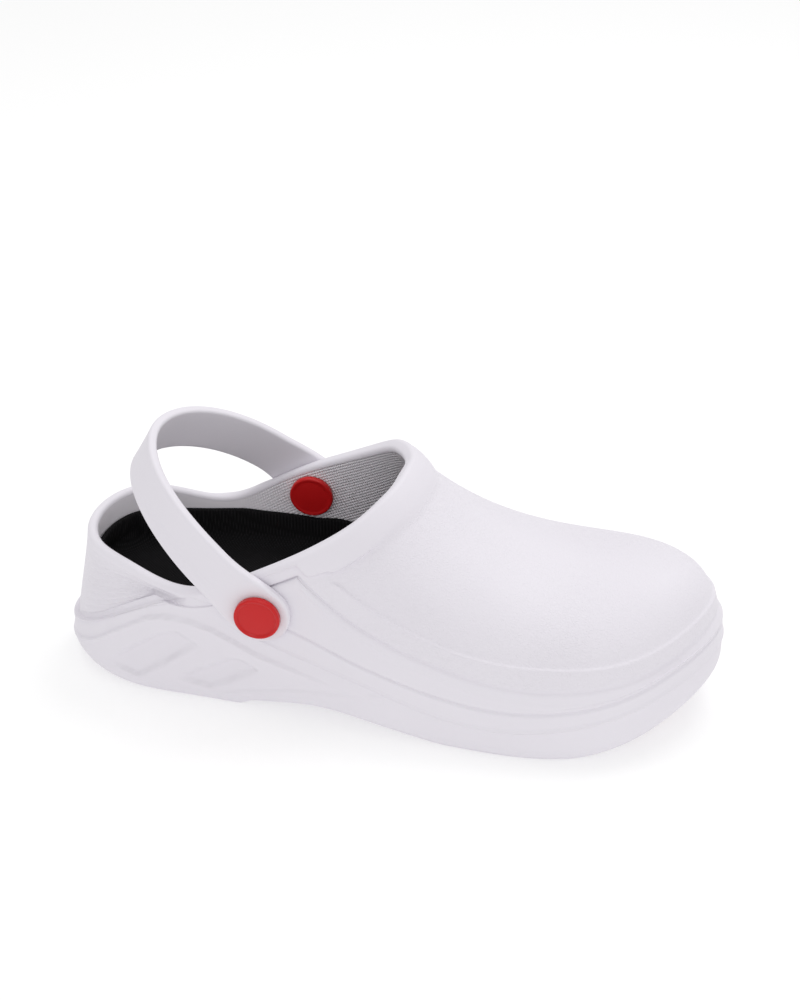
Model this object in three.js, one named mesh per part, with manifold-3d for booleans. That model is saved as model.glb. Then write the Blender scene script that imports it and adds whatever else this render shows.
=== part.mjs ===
// A closed-toe work clog for the right foot: one moulded foam body (upper and midsole), a loose
// insole, a heel strap on two snap rivets, and two rubber tread pads let into the underside.
// Millimetres. X runs from the heel to the toe, Y towards the inner side of the foot, Z up.
import * as THREE from "three";
import { mergeVertices } from "three/addons/utils/BufferGeometryUtils.js";
import Module from "manifold-3d";

const wasm = await Module();
wasm.setup();
const { Manifold, Mesh: SolidMesh } = wasm;

// Overall sizes
const LENGTH = 290;
const BALL_WIDTH = 108;
const INSTEP_HEIGHT = 108;
const FOOTBED_HEEL = 34;
const FOOTBED_BALL = 20;
const TOE_SPRING = 18;
const ARCH_RISE = 4.5;
const TREAD_STEP = 2.8;
const HEEL_BEVEL = 3;

// Where the underside leaves the floor, as shares of the length
const HEEL_ROUND = 0.09;
const WAIST_FROM = 0.29;
const WAIST_TO = 0.62;
const ARCH_TO = 0.57;
const TOE_FROM = 0.79;

// Walls and reliefs of the body
const WALL = 4.6;
const RAND_STEP = 2.2;
const PANEL_STEP = 0.8;
const GROOVE_DEPTH = 1.0;
const SEAM_RIDGE = 0.6;
const BAND_STEP = 2.0;
const BAND_WIDTH = 13;
const CREASE_GAP = 5;
const RIM_ROUND = 2.2;
const COUNTER_RIB = 0.6;
const COUNTER_GAP = 7;
const FLAME_DEPTH = 1.2;
const FOOTBED_FILLET = 7;
const CLEARANCE = 0.3;

// Insole
const INSOLE_THICK = 4;
const INSOLE_EDGE = 2;

// Heel strap and rivets. The strap rises at an angle in degrees, droops towards its back by
// STRAP_DROOP and is turned there about its own middle line by STRAP_TURN degrees.
const STRAP_WIDTH = 21.5;
const STRAP_BACK_WIDTH = 21.5;
const STRAP_THICK = 4;
const STRAP_CORNER = 1.4;
const STRAP_REACH = 75.5;
const STRAP_STRAIGHT = 8;
const STRAP_RAISE = 43;
const STRAP_DROOP = 8;
const STRAP_TURN = -14;
const STRAP_FULLNESS = 1.9;
const TONGUE_RADIUS = 13.5;
const SEAT_DEPTH = 0.8;
const BUTTON_RADIUS = 9.8;
const BUTTON_THICK = 3;
const BUTTON_LIP = 0.6;
const CAP_RADIUS = 9.8;
const CAP_THICK = 2.4;
const CAP_ROOM = 1.5;
const STEM_RADIUS = 4;

// Tread pads
const PAD_THICK = 1.8;
const LUG_HEIGHT = 1.4;
const LUG_WIDTH = 3.6;
const LUG_PITCH = 8;
const PAD_MARGIN = 8;

function table(columns, ...rows) {
  return rows.map((row) => Object.fromEntries(columns.map((name, i) => [name, row[i]])));
}

// The shoe's form, a row for each section from the heel to the toe, for the outer (Lat) and the
// inner (Med) side. x is a share of the length, y and tuck are shares of the ball width and the
// heights shares of the instep height. wide is where the sole is widest, seam the mould's parting
// line, fold the groove over it, counter and rand the top edge of the sole part behind and in
// front of the rivets, crease the line on the vamp, tuck the bottom edge's inset from wide.
const SECTIONS = table(
  ["xLat", "yLat", "xMed", "yMed", "wide", "seam", "fold", "counter", "rand", "crease", "tuck"],
  [0.0, 0.0, 0.0, 0.0, 0.11, 0.139, 0.153, 0.167, 1.2, 1.25, 0.145],
  [0.035, -0.2, 0.035, 0.2, 0.125, 0.194, 0.208, 0.227, 1.2, 1.25, 0.11],
  [0.117, -0.325, 0.117, 0.325, 0.157, 0.333, 0.352, 0.38, 1.2, 1.25, 0.067],
  [0.228, -0.36, 0.234, 0.375, 0.185, 0.44, 0.463, 0.519, 1.16, 1.22, 0.055],
  [0.372, -0.4, 0.372, 0.4, 0.185, 0.34, 0.46, 0.635, 0.99, 1.16, 0.05],
  [0.486, -0.45, 0.5, 0.42, 0.157, 0.255, 0.345, 0.765, 0.572, 0.765, 0.05],
  [0.614, -0.49, 0.628, 0.455, 0.12, 0.155, 0.246, 0.92, 0.37, 0.495, 0.05],
  [0.738, -0.51, 0.748, 0.49, 0.093, 0.15, 0.23, 1.1, 0.312, 0.418, 0.055],
  [0.852, -0.455, 0.866, 0.46, 0.13, 0.21, 0.28, 1.1, 0.333, 0.425, 0.09],
  [0.941, -0.28, 0.952, 0.33, 0.195, 0.28, 0.345, 1.1, 0.375, 0.465, 0.11],
  [1.0, 0.02, 1.0, 0.02, 0.26, 0.33, 0.39, 1.1, 0.44, 0.52, 0.125],
);
// The rim of the opening, in the same shares, and how the wall runs up to it: rise and drop
// (shares of the instep height) and lean and back (shares of the way across) place the wall
// curve's two handles.
const RIM = table(
  ["xLat", "yLat", "xMed", "yMed", "z", "rise", "drop", "lean", "back"],
  [0.034, 0.0, 0.034, 0.0, 0.63, 0.12, 0.12, 0.1, 0.1],
  [0.062, -0.21, 0.06, 0.225, 0.625, 0.12, 0.12, 0.1, 0.1],
  [0.13, -0.315, 0.13, 0.345, 0.595, 0.12, 0.12, 0.1, 0.1],
  [0.222, -0.37, 0.222, 0.4, 0.545, 0.12, 0.12, 0.1, 0.1],
  [0.325, -0.4, 0.31, 0.41, 0.665, 0.15, 0.15, 0.1, 0.1],
  [0.41, -0.38, 0.4, 0.385, 0.79, 0.2, 0.2, 0.1, 0.15],
  [0.468, -0.315, 0.46, 0.33, 0.89, 0.3, 0.28, 0.02, 0.38],
  [0.505, -0.225, 0.495, 0.26, 0.96, 0.42, 0.43, 0.0, 0.45],
  [0.524, -0.125, 0.515, 0.19, 0.99, 0.6, 0.6, 0.0, 0.55],
  [0.531, -0.035, 0.528, 0.12, 1.005, 0.73, 0.68, 0.0, 0.58],
  [0.534, 0.045, 0.534, 0.045, 1.01, 0.76, 0.69, 0.0, 0.6],
);
// How high the insole climbs the wall over the footbed, in the same shares.
const CUP = table(["share", "height"], [0, 0.213], [0.2, 0.181], [0.46, 0.204], [0.8, 0.083], [1, 0.083]);
// Two flame-shaped hollows in each side of the heel, corner by corner, seen from the side, in
// shares of the length and the instep height.
const FLAMES = [
  [[0.085, 0.115], [0.131, 0.222], [0.176, 0.312], [0.204, 0.336], [0.237, 0.29], [0.137, 0.078]],
  [[0.2, 0.108], [0.246, 0.18], [0.286, 0.246], [0.303, 0.25], [0.329, 0.214], [0.254, 0.083]],
].map((corners) => table(["x", "z"], ...corners));
// The rivets' axes: side is -1 on the foot's outer and +1 on its inner side, xShare a share of the
// length and zShare a share of the way up from the footbed, where a cap just fits, to the instep.
const RIVETS = table(
  ["name", "side", "xShare", "zShare"],
  ["lateral", -1, 0.338, 0.082],
  ["medial", 1, 0.357, 0.245],
);
for (const rivet of RIVETS) {
  const lowest = FOOTBED_HEEL + FOOTBED_FILLET + CAP_RADIUS;
  rivet.x = rivet.xShare * LENGTH;
  rivet.z = lowest + rivet.zShare * (INSTEP_HEIGHT - lowest);
}
const TREADS = table(
  ["name", "from", "to"],
  ["tread_heel", 0.07, 0.275],
  ["tread_forefoot", 0.67, 0.9],
);

const LAST = SECTIONS.length - 1;
const STATIONS = 2 * LAST;
const STEPS_PER_STATION = 4;
const AROUND = STATIONS * STEPS_PER_STATION;

const clamp01 = (t) => Math.min(1, Math.max(0, t));
const mix = (a, b, t) => a + (b - a) * t;
const smooth = (from, to, x) => {
  const t = clamp01((x - from) / (to - from));
  return t * t * (3 - 2 * t);
};
const point = (x, y, z) => new THREE.Vector3(x, y, z);

// One closed ring of values: the outer side from heel to toe, then the inner side back.
function ringOf(pick) {
  const ring = [];
  for (let i = 0; i < STATIONS; i++) {
    ring.push(i <= LAST ? pick(i, "Lat") : pick(STATIONS - i, "Med"));
  }
  return ring;
}

// A closed cubic spline through evenly spaced values.
function closedSpline(values) {
  const n = values.length;
  const slopes = values.map(() => 0);
  for (let pass = 0; pass < 40; pass++) {
    for (let i = 0; i < n; i++) {
      const before = (i + n - 1) % n;
      const after = (i + 1) % n;
      const chord = 3 * (values[after] - values[before]);
      slopes[i] = (chord - slopes[before] - slopes[after]) / 4;
    }
  }
  return (u) => {
    const i = Math.floor(u);
    const t = u - i;
    const a = ((i % n) + n) % n;
    const b = (a + 1) % n;
    const t2 = t * t;
    const t3 = t2 * t;
    return (
      values[a] * (2 * t3 - 3 * t2 + 1) +
      slopes[a] * (t3 - 2 * t2 + t) +
      values[b] * (3 * t2 - 2 * t3) +
      slopes[b] * (t3 - t2)
    );
  };
}

const sectionRing = (key, scale) => closedSpline(ringOf((i) => SECTIONS[i][key] * scale));
const rimRing = (key, scale) => closedSpline(ringOf((i) => RIM[i][key] * scale));
const form = {
  x: closedSpline(ringOf((i, side) => SECTIONS[i]["x" + side] * LENGTH)),
  y: closedSpline(ringOf((i, side) => SECTIONS[i]["y" + side] * BALL_WIDTH)),
  wide: sectionRing("wide", INSTEP_HEIGHT),
  seam: sectionRing("seam", INSTEP_HEIGHT),
  fold: sectionRing("fold", INSTEP_HEIGHT),
  counter: sectionRing("counter", INSTEP_HEIGHT),
  rand: sectionRing("rand", INSTEP_HEIGHT),
  crease: sectionRing("crease", INSTEP_HEIGHT),
  tuck: sectionRing("tuck", BALL_WIDTH),
  rimX: closedSpline(ringOf((i, side) => RIM[i]["x" + side] * LENGTH)),
  rimY: closedSpline(ringOf((i, side) => RIM[i]["y" + side] * BALL_WIDTH)),
  rimZ: rimRing("z", INSTEP_HEIGHT),
  rise: rimRing("rise", INSTEP_HEIGHT),
  drop: rimRing("drop", INSTEP_HEIGHT),
  lean: rimRing("lean", 1),
  back: rimRing("back", 1),
};

// The smooth outer wall without its reliefs: t runs from the sole's widest line to the rim.
function wallPoint(u, t) {
  const foot = point(form.x(u), form.y(u), form.wide(u));
  const rim = point(form.rimX(u), form.rimY(u), form.rimZ(u));
  const low = foot.clone().lerp(rim, form.lean(u));
  low.z = foot.z + form.rise(u);
  const high = rim.clone().lerp(foot, form.back(u));
  high.z = rim.z - form.drop(u);
  return new THREE.CubicBezierCurve3(foot, low, high, rim).getPoint(t);
}

function wallNormal(u, t) {
  const du = 0.02;
  const dt = 0.004;
  const t0 = Math.max(0, t - dt);
  const t1 = Math.min(1, t + dt);
  const along = wallPoint(u + du, t).sub(wallPoint(u - du, t));
  const up = wallPoint(u, t1).sub(wallPoint(u, t0));
  return along.cross(up).normalize();
}

// One meridian of the wall, measured along its arc from the widest line.
function meridian(u) {
  const steps = 48;
  const points = [];
  const arc = [0];
  for (let i = 0; i <= steps; i++) {
    points.push(wallPoint(u, i / steps));
    if (i > 0) {
      arc.push(arc[i - 1] + points[i].distanceTo(points[i - 1]));
    }
  }
  const total = arc[steps];
  const tAt = (s) => {
    const i = Math.min(steps - 1, Math.max(0, arc.findIndex((a) => a > s) - 1));
    return s >= total ? 1 : clamp01((i + (s - arc[i]) / (arc[i + 1] - arc[i])) / steps);
  };
  const arcAtHeight = (z) => {
    const i = points.findIndex((p) => p.z > z);
    if (i < 0) {
      return total;
    }
    if (i === 0) {
      return 0;
    }
    return mix(arc[i - 1], arc[i], (z - points[i - 1].z) / (points[i].z - points[i - 1].z));
  };
  const skin = (s, lift) => {
    const t = tAt(s);
    return wallPoint(u, t).addScaledVector(wallNormal(u, t), lift);
  };
  return { u, total, arcAtHeight, skin };
}

// The height of the underside above the floor.
function bottomHeight(x) {
  const share = x / LENGTH;
  const heel = HEEL_BEVEL * clamp01(1 - share / HEEL_ROUND) ** 2;
  const toe = TOE_SPRING * clamp01((share - TOE_FROM) / (1 - TOE_FROM)) ** 1.6;
  const off = smooth(WAIST_FROM, WAIST_FROM + 0.03, share);
  const waist = off * (1 - smooth(WAIST_TO - 0.09, WAIST_TO, share));
  const arch = Math.sin(Math.PI * clamp01((share - WAIST_FROM) / (ARCH_TO - WAIST_FROM))) ** 2;
  return heel + toe + waist * (TREAD_STEP + ARCH_RISE * arch);
}

const footbedHeight = (x) => mix(FOOTBED_HEEL, FOOTBED_BALL, smooth(0.36, 0.74, x / LENGTH));

// The sole's side below its widest line: t runs from the bottom edge up.
function soleSidePoint(u, t, inset) {
  const fullness = 0.75;
  const foot = wallPoint(u, 0);
  const du = 0.02;
  const along = wallPoint(u + du, 0).sub(wallPoint(u - du, 0)).setZ(0).normalize();
  const inward = point(-along.y, along.x, 0);
  const angle = (t * Math.PI) / 2;
  const side = foot.clone();
  side.addScaledVector(inward, form.tuck(u) * (1 - Math.sin(angle) ** fullness) + inset);
  side.z = mix(bottomHeight(side.x), foot.z, 1 - Math.cos(angle) ** fullness);
  return side;
}

// How strongly the front part's grooves and steps show at x.
const frontShare = (x) => smooth(0.29, 0.35, x / LENGTH);
// How strongly the counter's ribs show at x.
const counterShare = (x) => smooth(0.01, 0.05, x / LENGTH) * (1 - smooth(0.19, 0.23, x / LENGTH));

// The lines of one meridian, as distances along it.
function marksOf(m) {
  const rimZ = form.rimZ(m.u);
  const x = form.x(m.u);
  const front = frontShare(x);
  const counterZ = Math.min(form.counter(m.u), rimZ - COUNTER_GAP * smooth(0.2, 0.3, x / LENGTH));
  const bandWidth = BAND_WIDTH * mix(0.45, 1, smooth(0.3, 0.44, form.rimX(m.u) / LENGTH));
  const bandEdge = m.total - bandWidth;
  const crease = m.arcAtHeight(form.crease(m.u));
  const rand = m.arcAtHeight(Math.min(form.rand(m.u), counterZ));
  const lowest = Math.min(rand + 1.5, bandEdge - CREASE_GAP);
  return {
    front,
    ribs: counterShare(x),
    band: smooth(0.3, 0.4, form.rimX(m.u) / LENGTH),
    open: smooth(0, CREASE_GAP, bandEdge - crease),
    seam: m.arcAtHeight(form.seam(m.u)),
    fold: m.arcAtHeight(form.fold(m.u)),
    rand,
    crease: mix(lowest, Math.min(crease, bandEdge - CREASE_GAP), front),
    bandEdge,
    rim: m.total,
  };
}

// The wall's outer side: each level's place along the meridian and its lift off the smooth wall.
// The step down over the crease fades where the crease runs out at the band.
function outerLevels(k) {
  const panel = -RAND_STEP + PANEL_STEP * k.front;
  const upper = mix(panel, -RAND_STEP, k.open);
  const banded = -RAND_STEP + BAND_STEP * k.band;
  const rib = COUNTER_RIB * k.ribs;
  const levels = [
    [k.seam - 1.5, 0],
    [k.seam, SEAM_RIDGE * k.front],
    [k.seam + 1.5, 0],
    [k.fold - 1.4, 0],
    [k.fold, -GROOVE_DEPTH * k.front],
    [k.fold + 1.4, 0],
    [k.rand - 2.8, 0],
    [k.rand - 0.7, -0.3],
    [k.rand + 0.5, -RAND_STEP - GROOVE_DEPTH * k.front],
    [k.rand + 2.2, panel],
    [k.crease - 0.7, panel],
    [k.crease + 0.9, upper],
  ];
  const low = Math.max(k.crease, k.rand) + 3;
  const high = k.bandEdge - 1.2;
  const between = 7;
  for (let i = 0; i < between; i++) {
    levels.push([mix(low, high, (i + 0.5) / between), upper + (i % 2) * rib]);
  }
  levels.push([k.bandEdge - 1.2, upper], [k.bandEdge + 1.2, banded]);
  levels.push([mix(k.bandEdge, k.rim, 0.55), banded], [k.rim - RIM_ROUND, banded]);
  spread(levels, k.rim);
  return levels;
}

// Keeps the levels in order with a least distance between them.
function spread(levels, end) {
  const gap = 0.3;
  let below = 0;
  for (const level of levels) {
    level[0] = Math.max(level[0], below + gap);
    below = level[0];
  }
  let above = end - 1;
  for (const level of levels.toReversed()) {
    level[0] = Math.min(level[0], above - gap);
    above = level[0];
  }
}

// A closed solid from rings of points, bottom first, closed by a level cap at each end. A cap's
// height at x comes from its own function; its rows run straight across from side to side.
function ringSolid(rings, lowHeight, highHeight) {
  const around = rings[0].length;
  const half = around / 2;
  const across = 3;
  const vertices = rings.flat().flatMap((p) => [p.x, p.y, p.z]);
  const faces = [];
  for (let j = 0; j + 1 < rings.length; j++) {
    for (let i = 0; i < around; i++) {
      const a = j * around + i;
      const b = j * around + ((i + 1) % around);
      faces.push(a, b, b + around, a, b + around, a + around);
    }
  }
  const cap = (j, heightAt, flip) => {
    const rows = [];
    for (let i = 0; i <= half; i++) {
      const left = rings[j][i];
      const right = rings[j][(around - i) % around];
      const row = [j * around + i];
      for (let k = 1; k < across; k++) {
        if (i === 0 || i === half) {
          row.push(row[0]);
          continue;
        }
        const p = left.clone().lerp(right, k / across);
        row.push(vertices.length / 3);
        vertices.push(p.x, p.y, heightAt(p.x));
      }
      row.push(j * around + ((around - i) % around));
      rows.push(row);
    }
    for (let i = 0; i < half; i++) {
      for (let k = 0; k < across; k++) {
        const quad = [rows[i][k], rows[i + 1][k], rows[i + 1][k + 1], rows[i][k + 1]];
        for (const [a, b, c] of [[0, 1, 2], [0, 2, 3]]) {
          const face = [quad[a], quad[b], quad[c]];
          if (new Set(face).size === 3) {
            faces.push(...(flip ? face.reverse() : face));
          }
        }
      }
    }
  };
  cap(0, lowHeight, true);
  cap(rings.length - 1, highHeight, false);
  return solid(vertices, faces);
}

function solid(vertices, faces) {
  const mesh = new SolidMesh({
    numProp: 3,
    vertProperties: new Float32Array(vertices),
    triVerts: new Uint32Array(faces),
  });
  mesh.merge();
  return new Manifold(mesh);
}

// A closed solid from a three.js geometry.
function solidFrom(geometry) {
  const bare = new THREE.BufferGeometry();
  bare.setAttribute("position", geometry.getAttribute("position"));
  bare.setIndex(geometry.getIndex());
  const welded = mergeVertices(bare, 1e-4);
  return solid(Array.from(welded.getAttribute("position").array), Array.from(welded.getIndex().array));
}

const INNER = RAND_STEP + WALL;
const meridians = [];
for (let i = 0; i < AROUND; i++) {
  meridians.push(meridian(i / STEPS_PER_STATION));
}
const marks = meridians.map(marksOf);

// The rings of the sole's side, then of the wall's outer side, each moved inwards by inset.
function outerRings(inset) {
  const rings = [];
  for (const t of [0, 0.2, 0.45, 0.7, 1]) {
    rings.push(meridians.map((m) => soleSidePoint(m.u, t, inset)));
  }
  const levels = marks.map(outerLevels);
  for (let j = 0; j < levels[0].length; j++) {
    rings.push(meridians.map((m, i) => m.skin(levels[i][j][0], levels[i][j][1] - inset)));
  }
  return rings;
}

// The rim's round, from the wall's outer side over to its inner side.
function rimRings() {
  const rings = [];
  const ease = RIM_ROUND * (1 - Math.SQRT1_2);
  const ring = (fromTop, side, fromSide) =>
    rings.push(
      meridians.map((m, i) => {
        const outer = -RAND_STEP + BAND_STEP * marks[i].band;
        const lift = side > 0 ? outer - fromSide : fromSide - INNER;
        return m.skin(m.total - fromTop, lift);
      }),
    );
  ring(ease, 1, ease);
  ring(0, 1, RIM_ROUND);
  ring(0, -1, RIM_ROUND);
  ring(ease, -1, ease);
  ring(RIM_ROUND, -1, 0);
  return rings;
}

// A ring on the wall's inner side, moved in by inset, at each meridian's height over the footbed.
function innerRing(inset, heightOverBed) {
  return meridians.map((m) => {
    const bed = footbedHeight(form.x(m.u));
    const s = m.arcAtHeight(bed + heightOverBed(m));
    return m.skin(Math.min(s, m.total - RIM_ROUND - 1), -INNER - inset);
  });
}

// The round between the wall and the footbed, of each meridian's own radius.
function filletRings(inset, raise, radiusOf = () => FOOTBED_FILLET) {
  const rings = [];
  for (const angle of [0, 45, 90]) {
    const a = THREE.MathUtils.degToRad(angle);
    const ring = meridians.map((m) => {
      const radius = radiusOf(m);
      const s = m.arcAtHeight(footbedHeight(form.x(m.u)) + radius);
      const p = m.skin(s, -INNER - inset - radius * (1 - Math.cos(a)));
      p.z = footbedHeight(p.x) + raise + radius * (1 - Math.sin(a));
      return p;
    });
    rings.push(ring);
  }
  return rings;
}

function innerRings() {
  const rings = [];
  for (const share of [0.12, 0.27, 0.42, 0.57, 0.71, 0.86]) {
    rings.push(
      meridians.map((m) => {
        const top = m.total - RIM_ROUND;
        const low = m.arcAtHeight(footbedHeight(form.x(m.u)) + FOOTBED_FILLET);
        return m.skin(mix(top, low, share), -INNER);
      }),
    );
  }
  return [...rings, ...filletRings(0, 0)];
}

function bodyBlank() {
  const rings = [...outerRings(0), ...rimRings(), ...innerRings()];
  return ringSolid(rings, bottomHeight, footbedHeight);
}

// The wall's distance from the middle plane at a place seen from the side, on the outer (-1) or
// the inner (+1) side of the foot, with its lift off the smooth wall.
function wallReach(x, z, side, lift) {
  const near = marks.map((k, i) => i).filter((i) => (side < 0 ? i < AROUND / 2 : i > AROUND / 2));
  const rows = near.map((i) => meridians[i].skin(meridians[i].arcAtHeight(z), lift));
  for (let i = 0; i + 1 < rows.length; i++) {
    const [a, b] = [rows[i], rows[i + 1]];
    if ((a.x - x) * (b.x - x) <= 0) {
      return Math.abs(mix(a.y, b.y, (x - a.x) / (b.x - a.x)));
    }
  }
  return 0;
}

// The smallest reach of the wall over a round place about a rivet.
function reachOver(radius, { side, x, z }, lift) {
  const reaches = [wallReach(x, z, side, lift)];
  for (let i = 0; i < 12; i++) {
    const a = (i * Math.PI) / 6;
    reaches.push(wallReach(x + radius * Math.cos(a), z + radius * Math.sin(a), side, lift));
  }
  return Math.min(...reaches);
}

// A turned solid standing on a rivet's axis, from a closed profile of [radius, distance] with
// the distance measured from the middle plane outwards.
function turned(profile, { side, x, z }) {
  const segments = 24;
  const lathe = new THREE.LatheGeometry(
    profile.map(([radius, reach]) => new THREE.Vector2(radius, reach)),
    segments,
  );
  lathe.rotateZ(side < 0 ? Math.PI : 0);
  return solidFrom(lathe).translate([x, 0, z]);
}

// Each rivet's seat is the flat on the wall that the strap lies on, its inner the wall's inside.
for (const rivet of RIVETS) {
  rivet.seat = reachOver(TONGUE_RADIUS / 2, rivet, 0) - SEAT_DEPTH;
  rivet.inner = reachOver(CAP_RADIUS, rivet, -INNER);
}

// The strap's middle line in its own plane: along is measured from the rivets' line up the
// strap, across from the shoe's middle plane towards the inner side.
function strapPath() {
  const [left, right] = RIVETS.map(({ seat }) => seat + CLEARANCE + STRAP_THICK / 2);
  const middle = (right - left) / 2;
  const reach = (right + left) / 2;
  const tongue = [-0.99, -0.92, -0.78, -0.55, -0.25].map((share) => share * TONGUE_RADIUS);
  const straight = [...tongue, 0, STRAP_STRAIGHT / 2];
  const path = straight.map((along) => ({ along, across: -reach }));
  const steps = 30;
  for (let i = 0; i <= steps; i++) {
    const a = (i / steps) * Math.PI;
    const power = 2 / STRAP_FULLNESS;
    const across = -Math.sign(Math.cos(a)) * Math.abs(Math.cos(a)) ** power * reach;
    path.push({ along: mix(STRAP_STRAIGHT, STRAP_REACH, Math.sin(a) ** power), across });
  }
  path.push(...straight.toReversed().map((along) => ({ along, across: reach })));
  return path.map(({ along, across }) => ({ along, across: across + middle }));
}

// Half the strap's width at a distance up the strap from the pivot.
function strapHalfWidth(along) {
  if (along < 0) {
    return Math.sqrt(TONGUE_RADIUS ** 2 - along ** 2);
  }
  const branch = mix(TONGUE_RADIUS, STRAP_WIDTH / 2, smooth(0, 0.35, along / STRAP_REACH));
  return mix(branch, STRAP_BACK_WIDTH / 2, smooth(0.5, 1, along / STRAP_REACH));
}

// The strap, or with grow the room it takes up with some air around it.
function strapSolid(grow) {
  const raise = THREE.MathUtils.degToRad(STRAP_RAISE);
  const thick = STRAP_THICK / 2 + grow;
  const up = point(-Math.cos(raise), 0, Math.sin(raise));
  const wide = point(Math.sin(raise), 0, Math.cos(raise));
  const side = point(0, 1, 0);
  const path = strapPath();
  const [left, right] = RIVETS.map(({ x, z }) => point(x, 0, z));
  const first = path[0].across;
  const last = path[path.length - 1].across;
  const at = (p) => {
    const foot = left.clone().lerp(right, (p.across - first) / (last - first));
    foot.addScaledVector(up, p.along).addScaledVector(side, p.across);
    return foot.addScaledVector(wide, -STRAP_DROOP * (Math.max(0, p.along) / STRAP_REACH) ** 2);
  };
  const rings = path.map((p, i) => {
    const before = at(path[Math.max(0, i - 1)]);
    const after = at(path[Math.min(path.length - 1, i + 1)]);
    const tangent = after.sub(before).normalize();
    const turn = THREE.MathUtils.degToRad(STRAP_TURN) * smooth(0.3, 1, p.along / STRAP_REACH);
    const width = wide.clone().addScaledVector(tangent, -wide.dot(tangent)).normalize();
    width.applyAxisAngle(tangent, turn);
    const outward = width.clone().cross(tangent);
    const halfWidth = strapHalfWidth(p.along) + grow;
    const corner = Math.min(STRAP_CORNER, halfWidth * 0.6);
    const ring = [];
    for (const [w, n, start] of [[1, -1, 270], [1, 1, 0], [-1, 1, 90], [-1, -1, 180]]) {
      for (const step of [0, 45, 90]) {
        const a = THREE.MathUtils.degToRad(start + step);
        const acrossWidth = w * (halfWidth - corner) + corner * Math.cos(a);
        const acrossThick = n * (thick - corner) + corner * Math.sin(a);
        ring.push(at(p).addScaledVector(width, acrossWidth).addScaledVector(outward, acrossThick));
      }
    }
    return ring.reverse();
  });
  return tubeSolid(rings);
}

// A closed solid from a row of rings, each end closed by a fan.
function tubeSolid(rings) {
  const around = rings[0].length;
  const vertices = rings.flat().flatMap((p) => [p.x, p.y, p.z]);
  const faces = [];
  for (let j = 0; j + 1 < rings.length; j++) {
    for (let i = 0; i < around; i++) {
      const a = j * around + i;
      const b = j * around + ((i + 1) % around);
      faces.push(a, b, b + around, a, b + around, a + around);
    }
  }
  const last = (rings.length - 1) * around;
  for (let i = 1; i + 1 < around; i++) {
    faces.push(0, i + 1, i);
    faces.push(last, last + i, last + i + 1);
  }
  return solid(vertices, faces);
}

// A slab between two heights over the underside, its plan between two shares of the length.
function padSlab(from, to, low, high, grow) {
  const edge = meridians.map((m) => soleSidePoint(m.u, 0, 0));
  const edgeAt = (x, side) => {
    const half = edge.filter((p, i) => (side < 0 ? i <= AROUND / 2 : i >= AROUND / 2));
    const i = half.findIndex((p, k) => k > 0 && (half[k - 1].x - x) * (p.x - x) <= 0);
    return mix(half[i - 1].y, half[i].y, (x - half[i - 1].x) / (half[i].x - half[i - 1].x));
  };
  const steps = 16;
  const start = from * LENGTH - grow;
  const end = to * LENGTH + grow;
  const sides = { "-1": [], 1: [] };
  for (let i = 0; i <= steps; i++) {
    const share = -Math.cos((i / steps) * Math.PI);
    const x = mix(start, end, (share + 1) / 2);
    const round = (1 - Math.abs(share) ** 3.5) ** (1 / 3.5);
    const lat = edgeAt(x, -1) + PAD_MARGIN - grow;
    const med = edgeAt(x, 1) - PAD_MARGIN + grow;
    const middle = (lat + med) / 2;
    sides[-1].push(point(x, mix(middle, lat, round), 0));
    sides[1].push(point(x, mix(middle, med, round), 0));
  }
  const plan = [...sides[-1], ...sides[1].slice(1, -1).toReversed()];
  const lift = (height) => plan.map((p) => point(p.x, p.y, bottomHeight(p.x) + height));
  return ringSolid(
    [lift(low), lift(high)],
    (x) => bottomHeight(x) + low,
    (x) => bottomHeight(x) + high,
  );
}

// One tread pad: a plate let into the sole with a row of cross lugs that reach the floor.
function padSolid(from, to) {
  const plate = padSlab(from, to, LUG_HEIGHT, LUG_HEIGHT + PAD_THICK, 0);
  const lugs = padSlab(from, to, 0, LUG_HEIGHT + PAD_THICK / 2, 0);
  const gaps = [];
  const start = from * LENGTH + LUG_WIDTH;
  for (let x = start; x < to * LENGTH; x += LUG_PITCH) {
    const gap = new THREE.BoxGeometry(LUG_PITCH - LUG_WIDTH, BALL_WIDTH, 8);
    gap.translate(x + (LUG_PITCH - LUG_WIDTH) / 2, 0, 0);
    const top = bottomHeight(x + (LUG_PITCH - LUG_WIDTH) / 2) + LUG_HEIGHT + PAD_THICK / 4;
    gap.translate(0, 0, top - 4);
    gaps.push(solidFrom(gap));
  }
  return plate.add(lugs.subtract(Manifold.union(gaps)));
}

// The flame hollows: prisms through the heel's side, cut down to an even depth.
function flameHollows() {
  const core = ringSolid(
    outerRings(FLAME_DEPTH),
    (x) => bottomHeight(x) - 1,
    () => INSTEP_HEIGHT,
  );
  const prisms = FLAMES.map((corners) => {
    const corner = ({ x, z }) => new THREE.Vector2(x * LENGTH, z * INSTEP_HEIGHT);
    const shape = new THREE.Shape(corners.map(corner));
    const prism = new THREE.ExtrudeGeometry(shape, { depth: BALL_WIDTH, bevelEnabled: false });
    prism.rotateX(Math.PI / 2);
    prism.translate(0, BALL_WIDTH / 2, 0);
    return solidFrom(prism);
  });
  return Manifold.union(prisms).subtract(core);
}

// The profile of a round cut that starts at a distance from the middle plane and runs outwards.
const bore = (radius, from) => [
  [0, from],
  [radius, from],
  [radius, BALL_WIDTH],
  [0, BALL_WIDTH],
  [0, from],
];

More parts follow.
